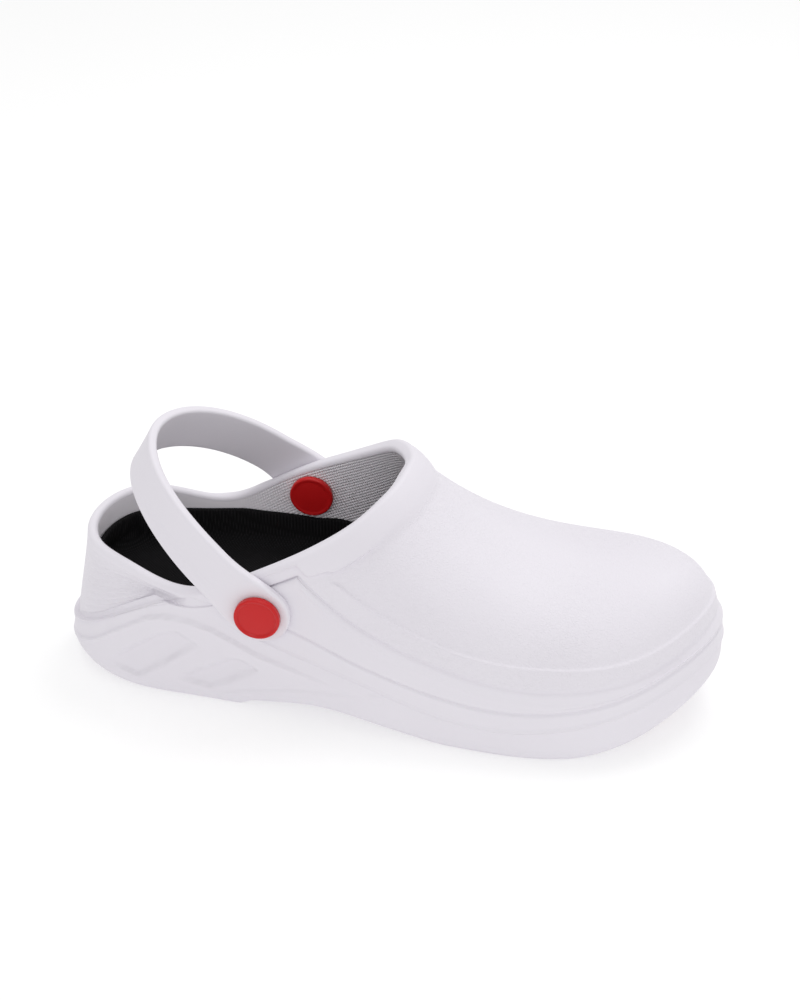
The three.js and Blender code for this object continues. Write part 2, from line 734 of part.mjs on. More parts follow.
function bodySolid() {
  const cuts = [flameHollows(), strapSolid(CLEARANCE)];
  for (const rivet of RIVETS) {
    cuts.push(turned(bore(TONGUE_RADIUS + 1.5, rivet.seat), rivet));
    cuts.push(turned(bore(STEM_RADIUS + CLEARANCE, rivet.inner / 2), rivet));
  }
  for (const { from, to } of TREADS) {
    cuts.push(padSlab(from, to, -3, LUG_HEIGHT + PAD_THICK + CLEARANCE, CLEARANCE));
  }
  return bodyBlank().subtract(Manifold.union(cuts));
}

// The strap with its two stem holes.
function strapWithHoles() {
  const holes = RIVETS.map((rivet) => turned(bore(STEM_RADIUS + CLEARANCE, rivet.inner / 2), rivet));
  return strapSolid(0).subtract(Manifold.union(holes));
}

// A rivet's outer button with its stem, and its inner cap with the socket for the stem.
function buttonSolid(rivet) {
  const outer = rivet.seat + CLEARANCE + STRAP_THICK + CLEARANCE;
  const tip = rivet.inner - CLEARANCE - CAP_THICK / 2;
  const lip = BUTTON_RADIUS - 1.2;
  return turned(
    [
      [0, tip],
      [STEM_RADIUS, tip],
      [STEM_RADIUS, outer],
      [BUTTON_RADIUS - 0.4, outer],
      [BUTTON_RADIUS, outer + 0.5],
      [BUTTON_RADIUS, outer + BUTTON_THICK - 0.8],
      [BUTTON_RADIUS - 0.6, outer + BUTTON_THICK],
      [lip, outer + BUTTON_THICK],
      [lip - 0.5, outer + BUTTON_THICK - BUTTON_LIP],
      [0, outer + BUTTON_THICK - BUTTON_LIP / 2],
      [0, tip],
    ],
    rivet,
  );
}

function capSolid(rivet) {
  const base = rivet.inner - CLEARANCE;
  const socket = STEM_RADIUS + CLEARANCE;
  const floor = base - CAP_THICK / 2 - CLEARANCE;
  const face = floor - 1;
  return turned(
    [
      [0, face],
      [CAP_RADIUS - 1, face],
      [CAP_RADIUS, face + 0.8],
      [CAP_RADIUS, base],
      [socket, base],
      [socket, floor],
      [0, floor],
      [0, face],
    ],
    rivet,
  );
}

// How high the insole climbs the wall over the footbed: less under a rivet's cap.
function cupHeight(m) {
  const share = clamp01(form.x(m.u) / LENGTH);
  const next = Math.max(1, CUP.findIndex((row) => row.share >= share));
  const [a, b] = [CUP[next - 1], CUP[next]];
  let height = INSTEP_HEIGHT * mix(a.height, b.height, smooth(a.share, b.share, share));
  for (const { side, x, z } of RIVETS) {
    if (side * form.y(m.u) > 0) {
      const near = 1 - smooth(CAP_RADIUS + 3, 3 * CAP_RADIUS, Math.abs(form.x(m.u) - x));
      const free = z - CAP_RADIUS - CAP_ROOM - footbedHeight(x);
      height = mix(height, Math.min(height, free), near);
    }
  }
  return height;
}

// The insole: a cupped sheet that lies on the footbed and climbs the wall a little.
function insoleSolid() {
  const off = 2 * CLEARANCE;
  const wallRing = (inset, below) => innerRing(off + inset, (m) => cupHeight(m) - below);
  const under = filletRings(off, CLEARANCE).toReversed();
  const halfway = innerRing(off, (m) => (FOOTBED_FILLET + cupHeight(m)) / 2);
  const outside = [halfway, wallRing(0, 0.6)];
  const top = [wallRing(0.7, 0), wallRing(INSOLE_EDGE - 0.5, 0)];
  const inside = [wallRing(INSOLE_EDGE, 0.8)];
  const room = (m) => cupHeight(m) - CLEARANCE - INSOLE_THICK - 1.2;
  const upper = filletRings(off + INSOLE_EDGE, CLEARANCE + INSOLE_THICK, (m) => {
    return Math.min(FOOTBED_FILLET, room(m));
  });
  const rings = [...under, ...outside, ...top, ...inside, ...upper];
  return ringSolid(
    rings,
    (x) => footbedHeight(x) + CLEARANCE,
    (x) => footbedHeight(x) + CLEARANCE + INSOLE_THICK,
  );
}

const FOAM = { color: 0xe9e6ec, roughness: 0.55 };
const RED_PLASTIC = { color: 0xc22a2e, roughness: 0.25 };
const RED_RUBBER = { color: 0xb8262b, roughness: 0.7 };
const parts = {
  body: { solid: bodySolid(), ...FOAM },
  insole: { solid: insoleSolid(), color: 0x18181a, roughness: 0.95 },
  heel_strap: { solid: strapWithHoles(), ...FOAM },
};
for (const rivet of RIVETS) {
  parts["rivet_" + rivet.name + "_button"] = { solid: buttonSolid(rivet), ...RED_PLASTIC };
  parts["rivet_" + rivet.name + "_cap"] = { solid: capSolid(rivet), ...RED_PLASTIC };
}
for (const { name, from, to } of TREADS) {
  parts[name] = { solid: padSolid(from, to), ...RED_RUBBER };
}

// The origin lies on the floor, under the middle of the whole clog.
const boxes = Object.values(parts).map((part) => part.solid.boundingBox());
const least = (axis) => Math.min(...boxes.map((box) => box.min[axis]));
const most = (axis) => Math.max(...boxes.map((box) => box.max[axis]));
const toOrigin = [-(least(0) + most(0)) / 2, -(least(1) + most(1)) / 2, -least(2)];

const group = new THREE.Group();
for (const [name, part] of Object.entries(parts)) {
  const mesh = part.solid.translate(toOrigin).getMesh();
  const geometry = new THREE.BufferGeometry();
  const positions = [];
  for (let i = 0; i < mesh.vertProperties.length; i += mesh.numProp) {
    positions.push(mesh.vertProperties[i], mesh.vertProperties[i + 1], mesh.vertProperties[i + 2]);
  }
  geometry.setAttribute("position", new THREE.Float32BufferAttribute(positions, 3));
  geometry.setIndex(Array.from(mesh.triVerts));
  geometry.computeVertexNormals();
  const { color, roughness } = part;
  const material = new THREE.MeshStandardMaterial({ color, roughness, metalness: 0 });
  const object = new THREE.Mesh(geometry, material);
  object.name = name;
  group.add(object);
}
export default group;
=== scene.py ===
import math

import bpy
import numpy as np
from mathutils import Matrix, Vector


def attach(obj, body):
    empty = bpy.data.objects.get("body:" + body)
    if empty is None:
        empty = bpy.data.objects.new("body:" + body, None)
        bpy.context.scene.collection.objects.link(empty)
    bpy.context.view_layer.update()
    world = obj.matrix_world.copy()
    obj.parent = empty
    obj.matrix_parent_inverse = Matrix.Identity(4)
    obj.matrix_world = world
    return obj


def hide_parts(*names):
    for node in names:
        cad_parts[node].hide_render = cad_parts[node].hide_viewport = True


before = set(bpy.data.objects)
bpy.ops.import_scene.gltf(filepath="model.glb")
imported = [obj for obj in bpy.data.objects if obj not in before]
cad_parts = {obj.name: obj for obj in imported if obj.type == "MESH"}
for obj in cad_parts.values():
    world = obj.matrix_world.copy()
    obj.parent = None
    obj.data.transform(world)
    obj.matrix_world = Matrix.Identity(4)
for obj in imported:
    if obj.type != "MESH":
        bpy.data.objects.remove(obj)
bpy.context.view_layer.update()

# Sizes in millimetres, the same as the solids'.
LENGTH = 290
BALL_WIDTH = 108
INSTEP_HEIGHT = 108
FOOTBED_HEEL = 34
FOOTBED_BALL = 20
TOE_SPRING = 18
ARCH_RISE = 4.5
TREAD_STEP = 2.8
HEEL_BEVEL = 3
WALL = 4.6
RAND_STEP = 2.2
PANEL_STEP = 0.8
GROOVE_DEPTH = 1.0
SEAM_RIDGE = 0.6
BAND_STEP = 2.0
BAND_WIDTH = 13
CREASE_GAP = 5
RIM_ROUND = 2.2
COUNTER_GAP = 7
FLAME_DEPTH = 1.2
FOOTBED_FILLET = 7
CLEARANCE = 0.3
INSOLE_THICK = 4
INSOLE_EDGE = 2
STRAP_WIDTH = 21.5
STRAP_BACK_WIDTH = 21.5
STRAP_THICK = 4
STRAP_CORNER = 1.4
STRAP_REACH = 75.5
STRAP_STRAIGHT = 8
STRAP_RAISE = 43
STRAP_DROOP = 8
STRAP_TURN = -14
STRAP_FULLNESS = 1.9
TONGUE_RADIUS = 13.5
SEAT_DEPTH = 0.8
BUTTON_RADIUS = 9.8
BUTTON_THICK = 3
CAP_RADIUS = 9.8
CAP_THICK = 2.4
CAP_ROOM = 1.5
STEM_RADIUS = 4
PAD_THICK = 1.8
LUG_HEIGHT = 1.4
LUG_WIDTH = 3.6
LUG_PITCH = 8
PAD_MARGIN = 8
INNER = RAND_STEP + WALL
# The scene's own: the lift of the rim and the counter where they meet beside the strap.
FLUSH_LIFT = -0.6

# Where the sole leaves the floor and where the footbed slopes, as shares of the length.
HEEL_ROUND = 0.09
WAIST_FROM = (0.29, 0.32)
WAIST_TO = (0.53, 0.62)
ARCH_SPAN = 0.28
TOE_FROM = 0.79
FOOTBED_SLOPE = (0.36, 0.74)

# Across the wall's lines: the distance above the line and the share of its lift.
SEAM_PROFILE = [(-1.2, 0), (-0.5, 0), (-0.2, 0.8), (0.1, 1), (0.5, 0.65), (1.0, 0.25), (1.6, 0)]
FOLD_PROFILE = [(-1.4, 0), (-0.9, -0.15), (-0.4, -0.7), (0, -1), (0.4, -0.85), (0.9, -0.1), (1.4, 0.1)]
LIP_PROFILE = [(-6.5, 0), (-5.4, 0.15), (-4.4, 0.25), (-3.4, 0.15), (-2.4, -0.1), (-1.5, -0.4), (-0.8, -0.7)]
STEP_PROFILE = [(-0.2, 0.2), (0.2, 0.55), (0.6, 0.88), (1.0, 1.0)]
FLOOR_PROFILE = [(1.3, 0.1), (1.9, 0.45), (2.5, 0.8), (3.2, 1.0)]
CREASE_PROFILE = [(-1.8, 1.0), (-1.1, 1.12), (-0.6, 1.2), (-0.1, 1.12), (0.3, 0.75), (0.7, 0.35), (1.2, 0.08)]
# The least distance between two rows of points up the wall.
ROW_GAP = 0.06
# The counter's ribs: rows of points, teeth, and the share of a tooth that rises.
RIB_ROWS = 66
RIB_TEETH = 8.5
RIB_RISE = 0.18
RIB_HEIGHT = 1.0

# From the form's own frame, with the heel's back at zero, to the frame of the solids.
SHIFT = np.array([-145.21, 1.07, 0.0])

SECTION_KEYS = "xLat yLat xMed yMed wide seam fold counter rand crease tuck".split()
SECTIONS = [
    [0.0, 0.0, 0.0, 0.0, 0.11, 0.139, 0.153, 0.167, 1.2, 1.25, 0.145],
    [0.035, -0.2, 0.035, 0.2, 0.125, 0.194, 0.208, 0.227, 1.2, 1.25, 0.11],
    [0.117, -0.325, 0.117, 0.325, 0.157, 0.333, 0.352, 0.38, 1.2, 1.25, 0.067],
    [0.228, -0.36, 0.234, 0.375, 0.185, 0.44, 0.463, 0.519, 1.16, 1.22, 0.055],
    [0.372, -0.4, 0.372, 0.4, 0.185, 0.34, 0.46, 0.635, 0.99, 1.16, 0.05],
    [0.486, -0.45, 0.5, 0.42, 0.157, 0.255, 0.345, 0.765, 0.572, 0.765, 0.05],
    [0.614, -0.49, 0.628, 0.455, 0.12, 0.155, 0.246, 0.92, 0.37, 0.495, 0.05],
    [0.738, -0.51, 0.748, 0.49, 0.093, 0.15, 0.23, 1.1, 0.312, 0.418, 0.055],
    [0.852, -0.455, 0.866, 0.46, 0.13, 0.21, 0.28, 1.1, 0.333, 0.425, 0.09],
    [0.941, -0.28, 0.952, 0.33, 0.195, 0.28, 0.345, 1.1, 0.375, 0.465, 0.11],
    [1.0, 0.02, 1.0, 0.02, 0.26, 0.33, 0.39, 1.1, 0.44, 0.52, 0.125],
]
RIM_KEYS = "xLat yLat xMed yMed z rise drop lean back".split()
RIM = [
    [0.034, 0.0, 0.034, 0.0, 0.63, 0.12, 0.12, 0.1, 0.1],
    [0.062, -0.21, 0.06, 0.225, 0.625, 0.12, 0.12, 0.1, 0.1],
    [0.13, -0.315, 0.13, 0.345, 0.595, 0.12, 0.12, 0.1, 0.1],
    [0.222, -0.37, 0.222, 0.4, 0.545, 0.12, 0.12, 0.1, 0.1],
    [0.325, -0.4, 0.31, 0.41, 0.665, 0.15, 0.15, 0.1, 0.1],
    [0.41, -0.38, 0.4, 0.385, 0.79, 0.2, 0.2, 0.1, 0.15],
    [0.468, -0.315, 0.46, 0.33, 0.89, 0.3, 0.28, 0.02, 0.38],
    [0.505, -0.225, 0.495, 0.26, 0.96, 0.42, 0.43, 0.0, 0.45],
    [0.524, -0.125, 0.515, 0.19, 0.99, 0.6, 0.6, 0.0, 0.55],
    [0.531, -0.035, 0.528, 0.12, 1.005, 0.73, 0.68, 0.0, 0.58],
    [0.534, 0.045, 0.534, 0.045, 1.01, 0.76, 0.69, 0.0, 0.6],
]
# How high the insole climbs the wall over the footbed, in shares of length and instep height.
CUP = [[0, 0.213], [0.2, 0.181], [0.46, 0.204], [0.8, 0.083], [1, 0.083]]
# The flame hollows' corners seen from the side, as shares of length and instep height.
FLAMES = [
    [[0.085, 0.115], [0.131, 0.222], [0.176, 0.312], [0.204, 0.336], [0.237, 0.29], [0.137, 0.078]],
    [[0.2, 0.108], [0.246, 0.18], [0.286, 0.246], [0.303, 0.25], [0.329, 0.214], [0.254, 0.083]],
]
# The ledge round the heel and the low line under it, seen from the side in millimetres.
LEDGE_X = [-5, 8, 18, 29, 38, 46, 54, 64, 75, 84, 95, 110, 135]
LEDGE_Z = [9, 13.5, 20, 29.4, 35.8, 41.4, 43.6, 43.7, 41.3, 37, 31.3, 27.1, 21.2]
LOW_X = [70, 78, 110, 135, 150]
LOW_Z = [4, 6.5, 14.8, 18.6, 20]
MOULD_MARK = (148, 20.3)
LOWEST = FOOTBED_HEEL + FOOTBED_FILLET + CAP_RADIUS
RIVETS = {
    "lateral": {"side": -1, "x": 0.338 * LENGTH, "z": LOWEST + 0.082 * (INSTEP_HEIGHT - LOWEST)},
    "medial": {"side": 1, "x": 0.357 * LENGTH, "z": LOWEST + 0.245 * (INSTEP_HEIGHT - LOWEST)},
}
TREADS = {"tread_heel": (0.07, 0.275), "tread_forefoot": (0.67, 0.9)}

LAST = len(SECTIONS) - 1
STATIONS = 2 * LAST


def clamp01(t):
    return np.clip(t, 0, 1)


def mix(a, b, t):
    return a + (b - a) * t


def smooth(start, end, x):
    t = clamp01((np.asarray(x, float) - start) / (end - start))
    return t * t * (3 - 2 * t)


def closed_spline(values):
    """A closed cubic spline through evenly spaced values."""
    v = np.array(values, float)
    n = len(v)
    eye = np.eye(n)
    system = 4 * eye + np.roll(eye, 1, 0) + np.roll(eye, -1, 0)
    slopes = np.linalg.solve(system, 3 * (np.roll(v, -1) - np.roll(v, 1)))

    def at(u):
        u = np.asarray(u, float)
        i = np.floor(u).astype(int)
        t = u - i
        a, b = i % n, (i + 1) % n
        t2, t3 = t * t, t * t * t
        return (
            v[a] * (2 * t3 - 3 * t2 + 1)
            + slopes[a] * (t3 - 2 * t2 + t)
            + v[b] * (3 * t2 - 2 * t3)
            + slopes[b] * (t3 - t2)
        )

    return at


def ring_of(table, keys, lateral, medial, scale):
    """A closed spline round the foot: the lateral column from heel to toe, the medial one back."""
    a, b = keys.index(lateral), keys.index(medial)
    rows = [table[i][a] for i in range(LAST + 1)]
    rows += [table[STATIONS - i][b] for i in range(LAST + 1, STATIONS)]
    return closed_spline([value * scale for value in rows])


form = {
    "x": ring_of(SECTIONS, SECTION_KEYS, "xLat", "xMed", LENGTH),
    "y": ring_of(SECTIONS, SECTION_KEYS, "yLat", "yMed", BALL_WIDTH),
    "tuck": ring_of(SECTIONS, SECTION_KEYS, "tuck", "tuck", BALL_WIDTH),
    "rimX": ring_of(RIM, RIM_KEYS, "xLat", "xMed", LENGTH),
    "rimY": ring_of(RIM, RIM_KEYS, "yLat", "yMed", BALL_WIDTH),
    "lean": ring_of(RIM, RIM_KEYS, "lean", "lean", 1),
    "back": ring_of(RIM, RIM_KEYS, "back", "back", 1),
}
for key in "wide seam fold counter rand crease".split():
    form[key] = ring_of(SECTIONS, SECTION_KEYS, key, key, INSTEP_HEIGHT)
for key, name in [("rimZ", "z"), ("rise", "rise"), ("drop", "drop")]:
    form[key] = ring_of(RIM, RIM_KEYS, name, name, INSTEP_HEIGHT)


def stack(x, y, z):
    return np.stack(np.broadcast_arrays(x, y, z), -1).astype(float)


def wall_point(u, t):
    """The smooth outer wall: t runs from the sole's widest line to the rim."""
    u, t = np.broadcast_arrays(np.asarray(u, float), np.asarray(t, float))
    foot = stack(form["x"](u), form["y"](u), form["wide"](u))
    rim = stack(form["rimX"](u), form["rimY"](u), form["rimZ"](u))
    low = mix(foot, rim, form["lean"](u)[..., None])
    low[..., 2] = foot[..., 2] + form["rise"](u)
    high = mix(rim, foot, form["back"](u)[..., None])
    high[..., 2] = rim[..., 2] - form["drop"](u)
    t = t[..., None]
    s = 1 - t
    return s**3 * foot + 3 * s * s * t * low + 3 * s * t * t * high + t**3 * rim


def unit(v):
    return v / np.maximum(np.linalg.norm(v, axis=-1, keepdims=True), 1e-9)


def wall_normal(u, t):
    along = wall_point(u + 0.02, t) - wall_point(u - 0.02, t)
    up = wall_point(u, np.minimum(t + 0.004, 1)) - wall_point(u, np.maximum(t - 0.004, 0))
    return unit(np.cross(along, up))


class Meridians:
    """A ring of meridians of the wall, each measured along its arc from the widest line."""

    def __init__(self, count):
        self.u = np.arange(count) * STATIONS / count
        self.t = np.linspace(0, 1, 97)
        self.points = wall_point(self.u[:, None], self.t[None, :])
        steps = np.linalg.norm(np.diff(self.points, axis=1), axis=2)
        self.arc = np.concatenate([np.zeros((count, 1)), np.cumsum(steps, 1)], 1)
        self.total = self.arc[:, -1]
        self.x = form["x"](self.u)
        self.share = self.x / LENGTH

    def arc_at(self, heights):
        """The arc length at which each meridian first rises over its height."""
        heights = np.broadcast_to(heights, self.u.shape)
        found = []
        for z, points, arc in zip(heights, self.points[:, :, 2], self.arc):
            above = points > z
            if not above.any():
                found.append(arc[-1])
                continue
            i = int(above.argmax())
            if i == 0:
                found.append(0.0)
                continue
            share = (z - points[i - 1]) / (points[i] - points[i - 1])
            found.append(mix(arc[i - 1], arc[i], share))
        return np.array(found)

    def skin(self, s, lift):
        """Points at distances s along the meridians, lifted off the smooth wall."""
        s, lift = np.broadcast_arrays(s, lift)
        t = np.array([np.interp(row, arc, self.t) for row, arc in zip(s, self.arc)])
        u = self.u[:, None]
        return wall_point(u, t) + wall_normal(u, t) * lift[..., None]


def bottom_height(x):
    share = np.asarray(x, float) / LENGTH
    heel = HEEL_BEVEL * clamp01((HEEL_ROUND - share) / HEEL_ROUND) ** 2
    toe = TOE_SPRING * clamp01((share - TOE_FROM) / (1 - TOE_FROM)) ** 1.6
    waist = smooth(*WAIST_FROM, share) * (1 - smooth(*WAIST_TO, share))
    arch = np.sin(math.pi * clamp01((share - WAIST_FROM[0]) / ARCH_SPAN)) ** 2
    return heel + toe + waist * (TREAD_STEP + ARCH_RISE * arch)


def footbed_height(x):
    return mix(FOOTBED_HEEL, FOOTBED_BALL, smooth(*FOOTBED_SLOPE, np.asarray(x) / LENGTH))


def sole_side(m, t, inset):
    """The sole's side below its widest line: t runs from the bottom edge up."""
    u = m.u[:, None]
    foot = wall_point(u, 0.0)
    along = wall_point(u + 0.02, 0.0) - wall_point(u - 0.02, 0.0)
    along[..., 2] = 0
    along = unit(along)
    inward = stack(-along[..., 1], along[..., 0], 0.0)
    angle = np.asarray(t)[None, :] * math.pi / 2
    reach = form["tuck"](u) * (1 - np.sin(angle) ** 0.75) + inset
    side = foot + inward * reach[..., None]
    side[..., 2] = mix(bottom_height(side[..., 0]), foot[..., 2], 1 - np.cos(angle) ** 0.75)
    return side, -inward


def marks_of(m):
    """The wall's lines, as distances along each meridian, and the shares that blend its zones."""
    rim_share = form["rimX"](m.u) / LENGTH
    gap = COUNTER_GAP * smooth(0.2, 0.3, m.share)
    counter = np.minimum(form["counter"](m.u), form["rimZ"](m.u) - gap)
    edge = m.total - BAND_WIDTH * mix(0.22, 1, smooth(0.3, 0.44, rim_share))
    crease = m.arc_at(form["crease"](m.u))
    front = smooth(0.29, 0.35, m.share)
    rand = m.arc_at(np.minimum(form["rand"](m.u), counter))
    return {
        "front": front,
        "ribs": smooth(0.01, 0.05, m.share) * (1 - smooth(0.19, 0.24, m.share)),
        "band": smooth(0.3, 0.4, rim_share),
        "soft": smooth(0.46, 0.53, rim_share),
        "open": smooth(0, CREASE_GAP, edge - crease),
        "seam": m.arc_at(form["seam"](m.u)),
        "fold": m.arc_at(form["fold"](m.u)),
        "flush": smooth(0.185, 0.235, m.share) * (1 - smooth(0.31, 0.36, m.share)),
        "rand": rand,
        "crease": mix(np.minimum(rand + 1, edge - 3), np.minimum(crease, edge - CREASE_GAP), front),
        "edge": edge,
        "rim": m.total,
    }


def rim_lift(k):
    """The rim's lift off the smooth wall."""
    return mix(-RAND_STEP + BAND_STEP * k["band"], FLUSH_LIFT, k["flush"])


def outer_rows(k):
    """The wall's outer side as distances along the meridians and lifts off the smooth wall."""
    front = k["front"]
    panel = -RAND_STEP + PANEL_STEP * front
    upper = mix(mix(panel, -RAND_STEP, k["open"]), FLUSH_LIFT, k["flush"])
    panel = mix(panel, FLUSH_LIFT, k["flush"])
    banded = rim_lift(k)
    groove = GROOVE_DEPTH * front
    rows = []

    def add(s, lift):
        rows.append((s, lift + 0 * s))

    def fill(start, end, count, lift_start, lift_end):
        for i in range(1, count + 1):
            share = i / (count + 1)
            add(mix(start, end, share), mix(lift_start, lift_end, share))

    # The sole's edge, the seam ridge, the fold and the rand's rolled lip.
    fill(0 * k["seam"], k["seam"] + SEAM_PROFILE[0][0], 22, 0.0, 0.0)
    for d, f in SEAM_PROFILE:
        add(k["seam"] + d, SEAM_RIDGE * f * front)
    fill(k["seam"] + SEAM_PROFILE[-1][0], k["fold"] + FOLD_PROFILE[0][0], 5, 0.0, 0.0)
    for d, f in FOLD_PROFILE:
        add(k["fold"] + d, 0.8 * groove * f)
    fill(k["fold"] + FOLD_PROFILE[-1][0], k["rand"] + LIP_PROFILE[0][0], 12, 0.08 * front, 0.0)
    for d, f in LIP_PROFILE:
        add(k["rand"] + d, f * mix(0.2, 1, front))
    # The step off the rand down to a groove, the panel and its upper crease.
    floor = panel - 0.4 * groove
    for d, f in STEP_PROFILE:
        add(k["rand"] + d, mix(mix(-0.2, -0.8, front), floor, f))
    for d, f in FLOOR_PROFILE:
        add(k["rand"] + d, mix(floor, panel, f))
    fill(k["rand"] + FLOOR_PROFILE[-1][0], k["crease"] + CREASE_PROFILE[0][0], 9, panel, panel)
    for d, f in CREASE_PROFILE:
        add(k["crease"] + d, mix(upper, panel, f))
    # The upper with the counter's ribs, each a steep rise and a slow fall.
    low = np.maximum(k["crease"], k["rand"]) + 2.2
    wide = mix(0.4, 5.0, k["soft"])
    high = k["edge"] - wide
    for i in range(RIB_ROWS):
        share = (i + 0.5) / RIB_ROWS
        phase = (share * RIB_TEETH) % 1
        tooth = (1 - phase) ** 1.5
        if phase <= RIB_RISE:
            tooth = (1 - RIB_RISE) ** 1.5 * phase / RIB_RISE
        add(mix(low, high, share), upper + RIB_HEIGHT * k["ribs"] * tooth * min(1, 8 * (1 - share)))
    # The collar band and its slight crown.
    for share in np.linspace(0, 1, 7):
        add(k["edge"] + wide * mix(-1, 0.7, share), mix(upper, banded, smooth(0, 1, share)))
    span = k["rim"] - RIM_ROUND - k["edge"] - 0.7 * wide
    for share in np.linspace(0, 1, 10)[1:]:
        crown = 0.35 * math.sin(math.pi * share) * k["band"]
        add(k["edge"] + 0.7 * wide + span * share, banded + crown)
    s = np.stack([row[0] for row in rows], 1)
    lift = np.stack([row[1] for row in rows], 1)
    # Where lines run together, the rows give way to each other and stay under the rim's round.
    steps = np.arange(s.shape[1]) * ROW_GAP
    s = np.maximum.accumulate(np.maximum(s, ROW_GAP) - steps, 1) + steps
    end = (k["rim"] - RIM_ROUND)[:, None]
    back = steps[::-1]
    s = np.minimum.accumulate((np.minimum(s, end) + back)[:, ::-1], 1)[:, ::-1] - back
    return s, lift


def polygon_depth(x, z, corners):
    """Signed distance into a polygon, positive inside."""
    best = np.full(x.shape, 1e9)
    inside = np.zeros(x.shape, bool)
    count = len(corners)
    for i in range(count):
        ax, az = corners[i]
        bx, bz = corners[(i + 1) % count]
        dx, dz = bx - ax, bz - az
        h = clamp01(((x - ax) * dx + (z - az) * dz) / (dx * dx + dz * dz))
        best = np.minimum(best, np.hypot(x - ax - h * dx, z - az - h * dz))
        crosses = (az > z) != (bz > z)
        with np.errstate(divide="ignore", invalid="ignore"):
            inside ^= crosses & (x < ax + (z - az) * dx / (dz if dz else 1e-9))
    return np.where(inside, best, -best)


def side_relief(points):
    """The flame hollows, the heel's ledge, the low line and the mould mark, as a lift off the wall."""
    x, z = points[..., 0], points[..., 2]
    lift = np.zeros(x.shape)
    for corners in FLAMES:
        scaled = [(a * LENGTH, b * INSTEP_HEIGHT) for a, b in corners]
        low_x = min(a for a, b in scaled)
        high_x = max(a for a, b in scaled)
        share = (x - low_x) / (high_x - low_x)
        fade = smooth(-0.05, 0.25, share) * (1 - 0.4 * smooth(0.75, 1, share))
        lift -= 1.3 * FLAME_DEPTH * smooth(-0.4, 0.7, polygon_depth(x, z, scaled)) * fade
    # The ledge is a bead with a step over it, the low line a bead with a groove over it.
    over = z - np.interp(x, LEDGE_X, LEDGE_Z)
    strength = smooth(-4, 8, x) * (1 - smooth(95, 140, x))
    lift += strength * (0.4 * np.exp(-(((over + 1.0) / 0.9) ** 2)) - 1.1 * smooth(-0.4, 0.6, over))
    low = z - np.interp(x, LOW_X, LOW_Z)
    strength = smooth(70, 82, x) * (1 - smooth(125, 150, x))
    lift += 0.3 * strength * (np.exp(-((low / 0.6) ** 2)) - np.exp(-(((low - 1.3) / 0.6) ** 2)))
    # The mould mark is on the near side only.
    mark_x, mark_z = MOULD_MARK
    lift += 0.3 * smooth(2.6, 2.1, np.hypot(x - mark_x, z - mark_z)) * (points[..., 1] < 0)
    return lift


def mesh_object(name, points, faces):
    """A smooth-shaded mesh from points in millimetres of the form's own frame."""
    mesh = bpy.data.meshes.new(name)
    placed = (np.asarray(points, float).reshape(-1, 3) + SHIFT) / 1000
    mesh.from_pydata(placed.tolist(), [], faces)
    mesh.polygons.foreach_set("use_smooth", [True] * len(mesh.polygons))
    mesh.update()
    obj = bpy.data.objects.new(name, mesh)
    bpy.context.scene.collection.objects.link(obj)
    return obj


def grid_faces(around, rows, closed=True, flip=False):
    """Quads of a grid whose point (i, j) is i * rows + j, i going round."""
    faces = []
    for i in range(around if closed else around - 1):
        a, b = i * rows, ((i + 1) % around) * rows
        for j in range(rows - 1):
            face = (a + j, b + j, b + j + 1, a + j + 1)
            faces.append(face[::-1] if flip else face)
    return faces


def add_attribute(obj, name, values):
    layer = obj.data.attributes.new(name, "FLOAT", "POINT")
    layer.data.foreach_set("value", np.asarray(values, np.float32).reshape(-1))


def add_uv(obj, uv):
    """A UV layer, in metres along the surface, from one pair for each point."""
    layer = obj.data.uv_layers.new(name="surface")
    index = np.zeros(len(obj.data.loops), np.int32)
    obj.data.loops.foreach_get("vertex_index", index)
    layer.data.foreach_set("uv", np.asarray(uv, np.float32).reshape(-1, 2)[index].reshape(-1))


# The body's outer side: the sole's side, the wall with its reliefs and the rim's round.
ring = Meridians(480)
marks = marks_of(ring)
side_t = np.concatenate([[0, 0.012, 0.03, 0.06], np.linspace(0.1, 1, 24)])
lower, outward = sole_side(ring, side_t, 0)
side_lift = side_relief(lower)
fade = marks["front"][:, None] * smooth(0.45, 0.55, ring.share)[:, None]
side_lift -= 0.35 * np.exp(-(((side_t[None, :] - 0.42) / 0.05) ** 2)) * fade
lower = lower + outward * side_lift[..., None]
distance, lift = outer_rows(marks)
flat = ring.skin(distance, 0 * distance)
over_ledge = (distance < marks["rand"][:, None] - 0.3) * 1.0
lift = lift + side_relief(flat) * over_ledge
upper = ring.skin(distance, lift)
top_lift = rim_lift(marks)[:, None]
top = []
for angle in np.linspace(0, math.pi / 2, 8)[1:]:
    drop = RIM_ROUND * (1 - math.sin(angle))
    cut = RIM_ROUND * (1 - math.cos(angle))
    top.append(ring.skin((ring.total - drop)[:, None], top_lift - cut))
for angle in np.linspace(0, math.pi / 2, 8):
    drop = RIM_ROUND * (1 - math.cos(angle))
    cut = RIM_ROUND * (1 - math.sin(angle))
    top.append(ring.skin((ring.total - drop)[:, None], -INNER + cut + 0 * top_lift))
shell = np.concatenate([lower, upper, *top], 1)
outer = mesh_object("body_outer", shell, grid_faces(*shell.shape[:2]))
# The leather grain lies between the rand and the collar band.
over_rand = smooth(0, 1.5, distance - marks["rand"][:, None] - 1.5)
under_band = 1 - smooth(-2, 0, distance - marks["edge"][:, None])
no_grain = [np.zeros(lower.shape[:2]), np.zeros((len(ring.u), len(top)))]
add_attribute(outer, "grain", np.concatenate([no_grain[0], over_rand * under_band, no_grain[1]], 1))


